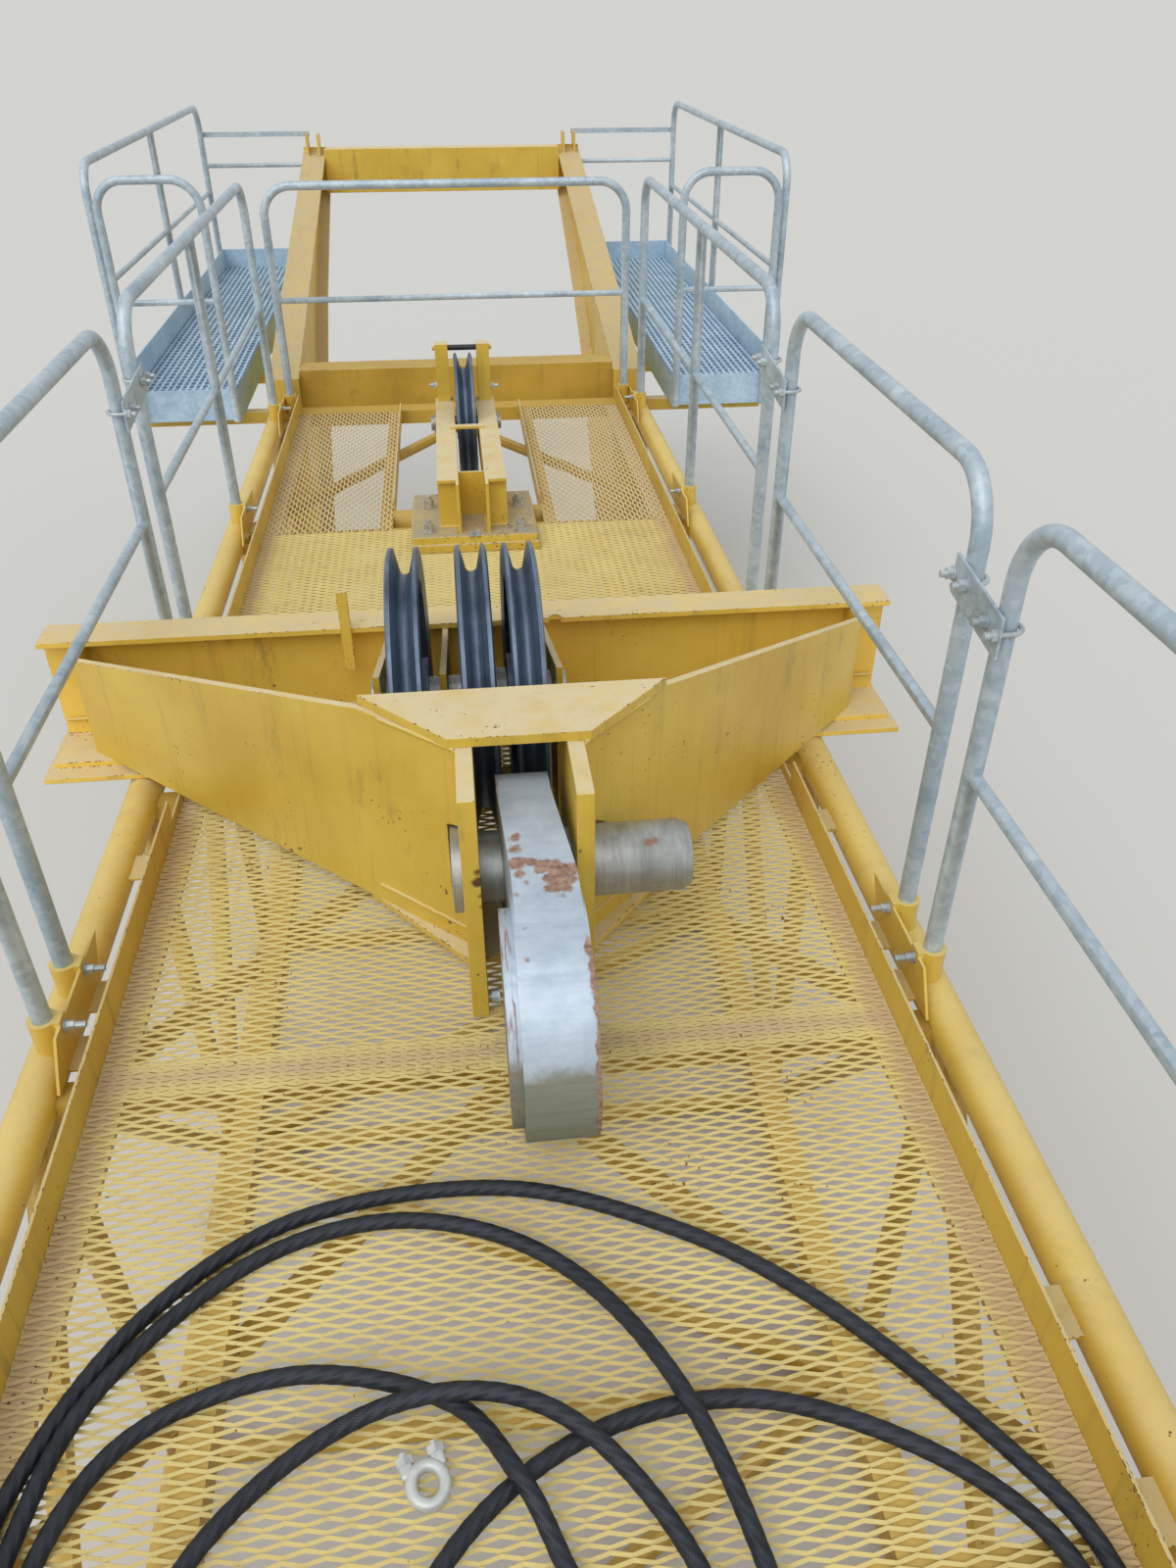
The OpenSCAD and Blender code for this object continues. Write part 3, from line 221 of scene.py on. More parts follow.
def turnedSteel(name, look):
    # bare turned steel: fine tool marks that run round its axis, grey oxide and spots of rust
    material, add, shader, coords = startFinish(name)
    middle = deckPoint(*look["axle"])
    own = add("ShaderNodeMapping", {}, {"Vector": coords, "Location": tuple(-middle)})
    place = add(*splitAxes, {0: own})
    flat = add(*joinAxes, {1: place.outputs[1], 2: place.outputs[2]})
    radius = add("ShaderNodeVectorMath", {"operation": "LENGTH"}, {0: flat})
    outward = add("ShaderNodeVectorMath", {"operation": "NORMALIZE"}, {0: flat})
    turned = add(*splitAxes, {0: outward})
    lathe = add("ShaderNodeVectorMath", {"operation": "MULTIPLY"},
        {0: add(*joinAxes, {0: place, 1: radius.outputs["Value"], 2: turned.outputs[1]}),
        1: look["lay"]})
    marks = add(*noiseAt, {"Vector": lathe, "Scale": 1.0, "Detail": 5.0, "Roughness": 0.65})
    cloud = add(*noiseAt, {"Vector": coords, "Scale": 14.0, "Detail": 6.0, "Roughness": 0.6})
    mixed = add("ShaderNodeMix", {"data_type": "FLOAT"}, {0: look["cloud"], 2: marks, 3: cloud})
    tone = add(*fade, {0: mixed, 1: 0.33, 2: 0.67})
    steel = add(*mixColour, {0: tone, 6: linear(look["deep"]), 7: linear(look["pale"])})
    blot = add(*noiseAt, {"Vector": coords, "Scale": 17.0, "Detail": 8.0, "Roughness": 0.7})
    rust = add(*fade, {0: blot, 1: look["rustFrom"], 2: look["rustFrom"] + 0.04})
    rusty = largest(add, [rust] + [
        raggedSpot(add, coords, spot, 0.014) for spot in look.get("spots", [])])
    colour = add(*mixColour, {0: rusty, 6: steel, 7: linear(look["rust"])})
    shine = add(*fade, {0: rusty, 3: look["metallic"], 4: 0.0})
    rough = add(*fade, {0: mixed, 3: look["roughness"] - 0.08, 4: look["roughness"] + 0.16})
    bump = add("ShaderNodeBump", {}, {"Strength": 0.25, "Distance": 0.0004, "Height": marks})
    feed(shader, {"Base Color": colour, "Metallic": shine, "Roughness": rough, "Normal": bump})
    return material


yellowLook = {"paint": "#DDBD4E", "paintDeep": "#CFA93C", "grime": "#8A7440", "runs": 0.5,
    "smudges": 0.75, "dust": "#D9CAA4", "dustShare": 0.9, "chipScale": 90.0, "chipFrom": 0.955,
    "roughness": 0.42}
yellowEnamel = brushedEnamel("yellow alkyd enamel", yellowLook)
# plate edges lose their paint first
edgeEnamel = brushedEnamel("yellow enamel worn at the edges", dict(yellowLook, paint="#E3C977",
    paintDeep="#D3B357", chipScale=120.0, chipFrom=0.82))
chordEnamel = brushedEnamel("yellow enamel on drawn tube", dict(yellowLook, paint="#E0C055",
    paintDeep="#D0AB40", dust="#E0CF98", dustShare=0.5, runs=0.35, smudges=0.4))
# members under the deck and the tail's near cross: darker paint and darker dust as painted shade,
# with more dirt runs and less dust
shadePaintedEnamel = brushedEnamel("yellow enamel darkened as painted shade under the deck", dict(yellowLook, paint="#CBA642",
    paintDeep="#B58F34", dust="#C9AE6A", dustShare=0.45, runs=0.6))
# the link has knocked the paint off the left lug's inner edge
lugEnamel = brushedEnamel("yellow enamel on the lugs",
    dict(yellowLook, knocks=[(-36, 1690, 387, 0.010), (-38, 1690, 362, 0.013),
    (-34, 1690, 328, 0.009), (-34, 1690, 300, 0.006), (-32, 1716, 500, 0.007),
    (158, 1690, 420, 0.006), (152, 1760, 540, 0.008)]))
soiledEnamel = brushedEnamel("yellow enamel under packed dust", dict(yellowLook, dust="#A79C80",
    dustShare=0.98, runs=0.7, chipFrom=0.90))
# the girder's web stands in shade between the front plates and the sheaves: its paint is lighter, as
# painted light against that shade, with fewer dirt runs and greyer dust
girderLightenedEnamel = brushedEnamel("yellow enamel lightened as painted light", dict(yellowLook, paint="#F2CF5C",
    paintDeep="#E6BE4B", runs=0.35, dust="#D3C29A"))
# brown dust lies thick on the flanges that nobody walks on
tailEnamel = brushedEnamel("yellow enamel under brown dust", dict(yellowLook, dust="#C3AF86",
    dustShare=0.95, runs=0.7))
meshEnamel = brushedEnamel("yellow enamel on expanded metal", dict(yellowLook, paint="#D9C46C",
    paintDeep="#C2A753", grime="#7F6A3C", runs=0.75, dust="#DBCB95", dustShare=0.5, chipFrom=0.97,
    roughness=0.55, soil="#BEA384", soilShare=0.62, soilStrip=(0.752, 0.80), soilAt=1600,
    soilReach=0.035))
rearMeshEnamel = brushedEnamel("yellow enamel on expanded metal under dust",
    dict(yellowLook, paint="#D8C07A", paintDeep="#C4A85E", grime="#7F6A3C", runs=0.6,
    dust="#D2C29A", dustShare=0.85, chipFrom=0.97, roughness=0.6))
toeEnamel = brushedEnamel("yellow enamel on the toe boards", dict(yellowLook, dust="#C9B78C",
    dustShare=0.8, runs=0.7, soil="#BEA384", soilShare=0.6, soilStrip=(0.752, 0.7995)))
tubeZinc = hotDipZinc("galvanised rail tube", {"deep": "#94A8B6", "pale": "#C8D5DD",
    "rust": "#8D7A62", "rustFrom": 0.70, "metallic": 0.3, "roughness": 0.4})
sheetZinc = hotDipZinc("galvanised catwalk sheet", {"deep": "#98B8D1", "pale": "#C3DCEE",
    "rust": "#8D8270", "rustFrom": 0.74, "metallic": 0.2, "roughness": 0.48})
# the sheet under the walking mesh is painted dark, as painted shade under the grating
trayShadeZinc = hotDipZinc("galvanised tray under the walking mesh",
    {"deep": "#4A6177", "pale": "#687F95", "rust": "#5C5648", "rustFrom": 0.70, "metallic": 0.1,
    "roughness": 0.6})
boltZinc = hotDipZinc("galvanised fasteners", {"deep": "#9AA5AB", "pale": "#D2DADD",
    "rust": "#8A6A4A", "rustFrom": 0.6, "metallic": 0.45, "roughness": 0.35})
rustyBolt = hotDipZinc("steel bolts gone grey", {"deep": "#8B8983", "pale": "#CFCCC4",
    "rust": "#6B5746", "rustFrom": 0.56, "metallic": 0.4, "roughness": 0.45})
sheaveLook = {"deep": "#3D4A5B", "pale": "#8295AB", "rust": "#55483F", "rustFrom": 0.74,
    "metallic": 0.5, "roughness": 0.42, "cloud": 0.35, "lay": (160.0, 150.0, 1.6)}
sheaveSteel = turnedSteel("cast steel polished by rope", dict(sheaveLook, axle=(0, 2420, 360)))
standSheaveSteel = turnedSteel("cast steel polished by rope, on the stand",
    dict(sheaveLook, axle=(20, 5140, 170)))
pinLook = {"deep": "#8D8F8C", "pale": "#BFC2C1", "rust": "#95705C", "rustFrom": 0.70,
    "metallic": 0.6, "roughness": 0.38, "cloud": 0.5, "lay": (120.0, 220.0, 2.0)}
pinSteel = turnedSteel("turned steel pin", dict(pinLook, axle=(60, 1850, 270),
    spots=[(310, 1812, 337, 0.013), (322, 1815, 336, 0.010), (226, 1775, 263, 0.005),
    (328, 1781, 242, 0.006)]))
axleSteel = turnedSteel("turned steel axles", dict(pinLook, axle=(0, 2420, 360), deep="#77797A"))
clipZinc = hotDipZinc("zinc on a forged clip", {"deep": "#B9BEBC", "pale": "#E6E8E4",
    "rust": "#9A8A70", "rustFrom": 0.7, "metallic": 0.3, "roughness": 0.4})


def aluminiumPaint(name, look):
    # aluminium paint brushed over a flame-cut forging: pale and slightly metallic, worn
    # through to brown rust along its edges and in one patch, bare grey at its front end
    material, add, shader, coords = startFinish(name)
    place = add(*splitAxes, {0: coords})
    wash = add("ShaderNodeMapping", {}, {"Vector": coords, "Scale": (9.0, 95.0, 95.0)})
    strokes = add(*noiseAt, {"Vector": wash, "Scale": 1.0, "Detail": 6.0, "Roughness": 0.6})
    cloud = add(*noiseAt, {"Vector": coords, "Scale": 19.0, "Detail": 7.0, "Roughness": 0.68})
    grain = add(*noiseAt, {"Vector": coords, "Scale": 85.0, "Detail": 5.0, "Roughness": 0.7})
    blend = add(*timesPlus, {0: strokes, 1: 0.45, 2: cloud})
    tone = add(*fade, {0: blend, 1: 0.52, 2: 0.92})
    paint = add(*mixColour, {0: tone, 6: linear(look["paintDeep"]), 7: linear(look["paint"])})

    def edgeShare(value, ragged, start, end):
        # 0 before start and 1 after end along one axis, in metres, with a torn line between
        torn = add(*timesPlus, {0: cloud, 1: ragged, 2: value})
        return add(*fade, {0: torn, 1: start + 0.5 * ragged, 2: end + 0.5 * ragged})

    def both(one, other):
        return add(*times, {0: one, 1: other})

    alongY, upZ = deckPoint(0, look["bandFrom"], 0).y, deckPoint(0, 0, look["bareBelow"]).z
    rightBand = both(edgeShare(place, 0.05, look["bandX"], look["bandX"] + 0.004),
        edgeShare(place.outputs[1], 0.05, alongY, alongY - 0.02))
    tall = add("ShaderNodeMapping", {}, {"Vector": coords, "Scale": (210.0, 14.0, 14.0)})
    streaks = add(*noiseAt, {"Vector": tall, "Scale": 1.0, "Detail": 4.0, "Roughness": 0.6})
    leftBand = both(edgeShare(place, -0.01, look["cheekX"], look["cheekX"] - 0.004),
        edgeShare(streaks, 0.2, 0.50, 0.62))
    chips = add(*fade, {0: add(*timesPlus, {0: cloud, 1: 0.5, 2: grain}), 1: 0.955, 2: 0.985})
    rusty = largest(add, [rightBand, leftBand, chips] + [
        raggedSpot(add, coords, spot, 0.034) for spot in look["rustSpots"]])
    rustTone = add(*fade, {0: grain, 1: 0.35, 2: 0.65})
    rust = add(*mixColour, {0: rustTone, 6: linear(look["rustDeep"]), 7: linear(look["rust"])})
    bare = edgeShare(place.outputs[2], 0.05, upZ + 0.012, upZ - 0.012)
    grime = add(*mixColour, {0: strokes, 6: linear(look["bareDeep"]), 7: linear(look["bare"])})
    ended = add(*mixColour, {0: bare, 6: paint, 7: grime})
    colour = add(*mixColour, {0: rusty, 6: ended, 7: rust})
    worn = largest(add, [rusty, bare])
    shine = add(*fade, {0: worn, 3: 0.25, 4: 0.05})
    rough = add(*fade, {0: worn, 3: 0.38, 4: 0.72})
    height = add(*timesPlus, {0: rusty, 1: -1.2, 2: add("ShaderNodeMath", {"operation": "ADD"},
        {0: strokes, 1: grain})})
    bump = add("ShaderNodeBump", {}, {"Strength": 0.35, "Distance": 0.0009, "Height": height})
    feed(shader, {"Base Color": colour, "Metallic": shine, "Roughness": rough, "Normal": bump})
    return material


linkPaint = aluminiumPaint("aluminium paint on a forging", {
    "paint": "#C4D1DE", "paintDeep": "#ABBAC9", "rust": "#B39482", "rustDeep": "#7B5D50",
    "bare": "#9A9C8E", "bareDeep": "#6E705F", "bareBelow": 300, "bandX": 0.136, "bandFrom": 1440,
    "cheekX": 0.016, "rustSpots": [
        (38, 1630, 449, 0.020), (62, 1628, 449, 0.018), (84, 1614, 448, 0.024),
        (108, 1606, 447, 0.028), (130, 1600, 446, 0.024), (104, 1580, 445, 0.028),
        (112, 1560, 442, 0.024), (92, 1556, 442, 0.016), (128, 1570, 443, 0.018),
        (106, 1536, 438, 0.016), (86, 1522, 436, 0.010), (36, 1668, 452, 0.016),
        (36, 1700, 454, 0.014), (42, 1600, 447, 0.014), (48, 1572, 443, 0.010),
        (139, 1701, 456, 0.005), (30, 1540, 446, 0.012), (38, 1400, 425, 0.010),
        (34, 1300, 405, 0.012), (40, 1460, 436, 0.008)]})
keeperBlack = turnedSteel("greased steel bar", dict(pinLook, axle=(20, 5220, 472), deep="#1D1E20",
    pale="#3A3C40", metallic=0.3, rustFrom=0.8))


def ropeSteel(name):
    # drawn steel wires under old grease: nearly black with a blue cast and a soft sheen
    material, add, shader, coords = startFinish(name)
    along = add("ShaderNodeUVMap", {"uv_map": "lay"})
    wires = add("ShaderNodeTexWave", {"bands_direction": "DIAGONAL"},
        {"Vector": along, "Scale": 14.0, "Distortion": 0.6})
    grease = add(*noiseAt, {"Vector": coords, "Scale": 28.0, "Detail": 5.0})
    colour = add(*mixColour, {0: grease, 6: linear("#16181D"), 7: linear("#3A3F4A")})
    rough = add(*fade, {0: grease, 3: 0.34, 4: 0.62})
    bump = add("ShaderNodeBump", {}, {"Strength": 0.5, "Distance": 0.0006, "Height": wires})
    feed(shader, {"Base Color": colour, "Roughness": rough, "Normal": bump, "Metallic": 0.35})
    return material


wireRope = ropeSteel("greased wire rope")
print("finishes made")


# ---- pieces
def keepPiece(name, mesh, body, finish=None):
    mesh.name = name
    piece = bpy.data.objects.new(name, mesh)
    scene.collection.objects.link(piece)
    if finish:
        mesh.materials.clear()
        mesh.materials.append(finish)
    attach(piece, body)
    return piece


# ---- rope: one loose length of six-strand wire rope on the deck
rope = {"diameter": 0.028, "height": 0.0143, "over": 0.0433, "lay": 0.18, "turnsPerLay": 22,
    "lobes": 6, "pointsPerLobe": 4, "groove": 0.3, "length": 14.44}
low, high = rope["height"], rope["over"]
ropeRoute = [
    (0.560, 0.230, low), (0.685, 0.410, low), (0.706, 0.590, low), (0.575, 0.745, low),
    (0.330, 0.855, low), (0.080, 0.832, low), (-0.120, 0.705, low), (-0.230, 0.500, low),
    (-0.200, 0.290, low), (-0.040, 0.190, low), (0.090, 0.290, low), (0.085, 0.490, low),
    (0.020, 0.680, low), (-0.032, 0.780, high), (-0.130, 0.905, low), (-0.350, 0.968, low),
    (-0.560, 0.920, low), (-0.665, 0.800, low), (-0.690, 0.620, low), (-0.610, 0.410, low),
    (-0.450, 0.290, low), (-0.240, 0.170, low), (0.000, 0.100, low), (0.180, 0.190, low),
    (0.240, 0.400, low), (0.205, 0.640, low), (0.068, 0.828, high), (-0.102, 0.901, high),
    (-0.300, 0.875, low), (-0.480, 0.725, low), (-0.535, 0.520, low), (-0.487, 0.315, high),
    (-0.340, 0.120, low), (-0.080, 0.000, low), (0.190, 0.030, low), (0.325, 0.250, low),
    (0.312, 0.520, low), (0.228, 0.848, high), (0.065, 1.105, low), (-0.184, 1.218, low),
    (-0.440, 1.172, low), (-0.655, 0.976, low), (-0.722, 0.760, low), (-0.728, 0.560, low),
    (-0.650, 0.300, low), (-0.430, 0.040, low), (-0.080, -0.110, low), (0.270, -0.080, low),
    (0.580, 0.110, low), (0.735, 0.380, low), (0.755, 0.580, low), (0.679, 0.740, low),
    (0.480, 0.985, low), (0.261, 1.152, low), (-0.030, 1.266, low), (-0.376, 1.244, low),
    (-0.610, 1.085, low), (-0.742, 0.845, low), (-0.757, 0.660, low), (-0.735, 0.470, low)]


def smoothPath(points, steps):
    # the same curve through the points as in the CAD source
    path = []
    last = len(points) - 1
    floorZ = min(p[2] for p in points)
    for i in range(last):
        a, b, c, d = (Vector(points[max(0, min(last, i + k))]) for k in (-1, 0, 1, 2))
        for k in range(steps):
            u = k / steps
            spot = (2 * b + (c - a) * u + (2 * a - 5 * b + 4 * c - d) * u * u
                + (3 * b - a - 3 * c + d) * u ** 3) / 2
            spot.z = max(spot.z, floorZ)
            path.append(spot)
    path.append(Vector(points[last]))
    return path


def evenPath(path, step):
    lengths = [0.0]
    for a, b in zip(path, path[1:]):
        lengths.append(lengths[-1] + (b - a).length)
    count = max(2, round(lengths[-1] / step))
    result, k = [], 0
    for i in range(count + 1):
        target = lengths[-1] * i / count
        while k < len(path) - 2 and lengths[k + 1] < target:
            k += 1
        share = (target - lengths[k]) / max(1e-9, lengths[k + 1] - lengths[k])
        result.append(path[k].lerp(path[k + 1], min(1, share)))
    return result, lengths[-1]


def ropeMesh(path, step, outer, lay, lobes, perLobe, groove):
    # a tube whose outline is six strands, turned as it goes; grease fills most of the grooves
    strand = outer / 3
    centre = outer - strand
    mesh = bmesh.new()
    uv = mesh.loops.layers.uv.new("lay")
    rings = []
    for i, p in enumerate(path):
        ahead = (path[min(i + 1, len(path) - 1)] - path[max(i - 1, 0)]).normalized()
        aside = ahead.cross(Vector((0, 0, 1))).normalized()
        up = aside.cross(ahead)
        turn = 2 * math.pi * i * step / lay
        ring = []
        for k in range(lobes * perLobe):
            phi = ((k % perLobe) / perLobe - 0.5) * 2 * math.pi / lobes
            reach = centre * math.cos(phi) + math.sqrt(
                max(0, strand ** 2 - (centre * math.sin(phi)) ** 2))
            reach = outer - groove * (outer - reach)
            angle = turn + 2 * math.pi * k / (lobes * perLobe)
            ring.append(mesh.verts.new(
                p + reach * (aside * math.cos(angle) + up * math.sin(angle))))
        rings.append(ring)
    count = lobes * perLobe
    for i in range(len(rings) - 1):
        for k in range(count):
            face = mesh.faces.new((rings[i][k], rings[i][(k + 1) % count],
                rings[i + 1][(k + 1) % count], rings[i + 1][k]))
            face.smooth = True
            for loop, (u, v) in zip(face.loops, ((k, i), (k + 1, i), (k + 1, i + 1), (k, i + 1))):
                loop[uv].uv = (u / count, v * step / (2 * math.pi * outer))
    mesh.faces.new(rings[0][::-1])
    mesh.faces.new(rings[-1])
    bmesh.ops.recalc_face_normals(mesh, faces=mesh.faces)
    result = bpy.data.meshes.new("rope")
    mesh.to_mesh(result)
    mesh.free()
    return result


ropeStep = rope["lay"] / rope["turnsPerLay"]
ropePath, ropeLength = evenPath(smoothPath([deckPoint(1000 * x, 1000 * y, 1000 * z) for x, y,
    z in ropeRoute], 12), ropeStep)
ropePiece = keepPiece("wireRope", ropeMesh(ropePath, ropeStep, rope["diameter"] / 2, rope["lay"],
    rope["lobes"], rope["pointsPerLobe"], rope["groove"]), "frame", wireRope)
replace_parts(ropePiece, "rope")
print("rope length", round(ropeLength, 3), "m")

# both ends are bound with seizing wire so that the strands can't open
seizing = {"wire": 0.0016, "turns": 14, "start": 0.012}
bands = bmesh.new()
for end in (ropePath, ropePath[::-1]):
    axis = (end[4] - end[0]).normalized()
    turn = axis.to_track_quat("Z", "Y").to_matrix().to_4x4()
    for k in range(seizing["turns"]):
        place = Matrix.Translation(end[0] + axis
            * (seizing["start"] + k * 2 * seizing["wire"])) @ turn
        around = [place @ Matrix.Rotation(2 * math.pi * j / 20, 4, "Z") for j in range(20)]
        ring = [[bands.verts.new(m @ Vector((rope["diameter"] / 2 + seizing["wire"] * math.cos(a),
            0, seizing["wire"] * math.sin(a)))) for a in (0, 2.1, 4.2)] for m in around]
        for j in range(20):
            for a in range(3):
                bands.faces.new((ring[j][a], ring[(j + 1) % 20][a],
                    ring[(j + 1) % 20][(a + 1) % 3], ring[j][(a + 1) % 3]))
bmesh.ops.recalc_face_normals(bands, faces=bands.faces)
bandMesh = bpy.data.meshes.new("ropeSeizings")
bands.to_mesh(bandMesh)
bands.free()
seizingPiece = keepPiece("ropeSeizings", bandMesh, "frame", boltZinc)
print("rope made")


# ---- node trees for what repeats
def newTree(name, sizes, counts=()):
    # an empty tree, its named inputs (sizes, counts and the finish) and its output node
    tree = bpy.data.node_groups.new(name, "GeometryNodeTree")
    sockets = [("Geometry", "Geometry")] + [(size, "Float") for size in sizes]
    sockets += [(count, "Int") for count in counts] + [("Finish", "Material")]
    for label, kind in sockets:
        tree.interface.new_socket(label, in_out="INPUT", socket_type="NodeSocket" + kind)
    tree.interface.new_socket("Geometry", in_out="OUTPUT", socket_type="NodeSocketGeometry")
    given = tree.nodes.new("NodeGroupInput").outputs
    return tree, functools.partial(addNode, tree), given, tree.nodes.new("NodeGroupOutput")


def grown(tree, values, seed=None):
    # runs a tree on the seed mesh with the given inputs and returns the plain mesh
    holder = bpy.data.objects.new("holder", seed or bpy.data.meshes.new("seed"))
    scene.collection.objects.link(holder)
    modifier = holder.modifiers.new("grow", "NODES")
    modifier.node_group = tree
    for item in tree.interface.items_tree:
        if item.in_out == "INPUT" and item.name in values:
            modifier[item.identifier] = values[item.name]
    ready = holder.evaluated_get(bpy.context.evaluated_depsgraph_get())
    mesh = bpy.data.meshes.new_from_object(ready)
    holder.modifiers.remove(modifier)
    bpy.data.objects.remove(holder)
    return mesh


def expandedMetalTree():
    # rows of zigzag strands, every second row turned over so that they meet at the bonds
    tree, add, given, out = newTree("expanded metal", ("Long Way", "Short Way", "Strand Width",
        "Strand Height", "Swing", "Tilt"), ("Cells Along", "Rows"))
    size = add(*joinAxes, {0: given["Long Way"], 1: given["Strand Width"],
        2: given["Strand Height"]})
    strip = add("GeometryNodeMeshCube", {}, {"Size": size, "Vertices X": 3, "Vertices Y": 2,
        "Vertices Z": 2})
    hollow = add("GeometryNodeDeleteGeometry", {"domain": "FACE"},
        {"Geometry": strip, "Selection": add("FunctionNodeCompare", {"operation": "GREATER_THAN"},
        {0: add("ShaderNodeMath", {"operation": "ABSOLUTE"},
        {0: add(*splitAxes, {0: add("GeometryNodeInputNormal")})}), 1: 0.9})})
    turn = add(*joinAxes, {0: given["Tilt"]})
    leaned = add("GeometryNodeTransform", {}, {"Geometry": hollow, "Rotation": turn})
    across = add(*absolute, {0: add(*splitAxes, {0: add("GeometryNodeInputPosition")})})
    share = add("ShaderNodeMath", {"operation": "DIVIDE"}, {0: across, 1: given["Long Way"]})
    wave = add(*timesPlus, {0: share, 1: -2.0, 2: 0.5})
    bent = []
    for sign in (1.0, -1.0):
        lift = add(*times, {0: wave, 1: given["Swing"]})
        signed = add(*times, {0: lift, 1: sign})
        moved = add("GeometryNodeSetPosition", {},
            {"Geometry": leaned, "Offset": add(*joinAxes, {1: signed})})
        bent.append(add("GeometryNodeGeometryToInstance", {}, {0: moved}))
    pair = tree.nodes.new("GeometryNodeJoinGeometry")
    for one in bent:
        feed(pair, {0: one})
    # the grid of cells starts at the origin
    row = add("GeometryNodeMeshLine", {}, {"Count": given["Cells Along"],
        "Start Location": (0, 0, 0), "Offset": add(*joinAxes, {0: given["Long Way"]})})
    half = add(*times, {0: given["Short Way"], 1: 0.5})
    column = add("GeometryNodeMeshLine", {}, {"Count": given["Rows"], "Start Location": (0, 0, 0),
        "Offset": add(*joinAxes, {1: half})})
    rows = add("GeometryNodeRealizeInstances", {},
        {0: add("GeometryNodeInstanceOnPoints", {}, {"Points": column, "Instance": row})})
    place = add(*splitAxes, {0: add("GeometryNodeInputPosition")})
    number = add("ShaderNodeMath", {"operation": "ROUND"},
        {0: add("ShaderNodeMath", {"operation": "DIVIDE"}, {0: place.outputs[1], 1: half})})
    odd = add("ShaderNodeMath", {"operation": "MODULO"}, {0: number, 1: 2.0})
    cells = add("GeometryNodeInstanceOnPoints", {}, {"Points": rows, "Instance": pair,
        "Pick Instance": True, "Instance Index": odd})
    whole = add("GeometryNodeRealizeInstances", {}, {0: cells})
    joined = add("GeometryNodeMergeByDistance", {}, {0: whole, "Distance": 0.0001})
    finished = add("GeometryNodeSetMaterial", {}, {0: joined, "Material": given["Finish"]})
    feed(out, {0: finished})
    return tree


def boltTree():
    # washer, hexagon and thread end at each seed point, standing along the point's own axis
    tree, add, given, out = newTree("bolts", ("Washer Radius", "Washer Height", "Head Radius",
        "Head Height", "Thread Radius", "Thread Height"))
    stack = tree.nodes.new("GeometryNodeJoinGeometry")
    base = None
    for part, corners in (("Washer", 16), ("Head", 6), ("Thread", 10)):
        disc = add("GeometryNodeMeshCylinder", {},
            {"Vertices": corners, "Radius": given[part + " Radius"],
            "Depth": given[part + " Height"]})
        middle = add(*timesPlus, {0: given[part + " Height"], 1: 0.5, 2: base if base else 0.0})
        lifted = add("GeometryNodeTransform", {},
            {"Geometry": disc, "Translation": add(*joinAxes, {2: middle})})
        feed(stack, {0: lifted})
        base = add("ShaderNodeMath", {"operation": "ADD"},
            {0: given[part + " Height"], 1: base if base else 0.0})
    axis = add("GeometryNodeInputNamedAttribute", {"data_type": "FLOAT_VECTOR"}, {"Name": "axis"})
    turn = add("FunctionNodeAlignRotationToVector", {"axis": "Z"},
        {"Vector": axis.outputs["Attribute"]})
    placed = add("GeometryNodeInstanceOnPoints", {}, {"Points": given["Geometry"],
        "Instance": stack, "Rotation": turn})
    whole = add("GeometryNodeRealizeInstances", {}, {0: placed})
    finished = add("GeometryNodeSetMaterial", {}, {0: whole, "Material": given["Finish"]})
    feed(out, {0: finished})
    return tree


def beadTree():
    # a round bead along each seed line, with the ripple that a weld has
    tree, add, given, out = newTree("beads", ("Radius", "Step", "Ripple", "Seed"), ("Sides",))
    path = add("GeometryNodeMeshToCurve", {}, {0: given["Geometry"]})
    even = add("GeometryNodeResampleCurve", {"mode": "LENGTH"},
        {"Curve": path, "Length": given["Step"]})
    wobble = add("ShaderNodeTexNoise", {"noise_dimensions": "4D"},
        {"W": given["Seed"], "Scale": 170.0, "Detail": 1.0})
    centred = add("ShaderNodeVectorMath", {"operation": "SUBTRACT"},
        {0: wobble.outputs["Color"], 1: (0.5, 0.5, 0.5)})
    shift = add("ShaderNodeVectorMath", {"operation": "SCALE"},
        {0: centred, "Scale": given["Ripple"]})
    rippled = add("GeometryNodeSetPosition", {}, {"Geometry": even, "Offset": shift})
    outline = add("GeometryNodeCurvePrimitiveCircle", {"mode": "RADIUS"},
        {"Resolution": given["Sides"], "Radius": given["Radius"]})
    skin = add("GeometryNodeCurveToMesh", {}, {"Curve": rippled, "Profile Curve": outline,
        "Fill Caps": True})
    whole = add("GeometryNodeRealizeInstances", {}, {0: skin})
    finished = add("GeometryNodeSetMaterial", {}, {0: whole, "Material": given["Finish"]})
    feed(out, {0: finished})
    return tree


expandedMetal, hexBolts, beads = expandedMetalTree(), boltTree(), beadTree()
print("node trees made")


# ---- deck: flattened expanded metal, the long way of its diamonds across the deck
deckMesh = {"long": 60, "short": 25, "strand": 6.0, "height": 2.3, "tilt": 28, "depth": 5,
    "lap": 45}
rearMesh = {"long": 60, "short": 30, "strand": 7.0, "height": 2.6, "tilt": 16, "depth": 5}


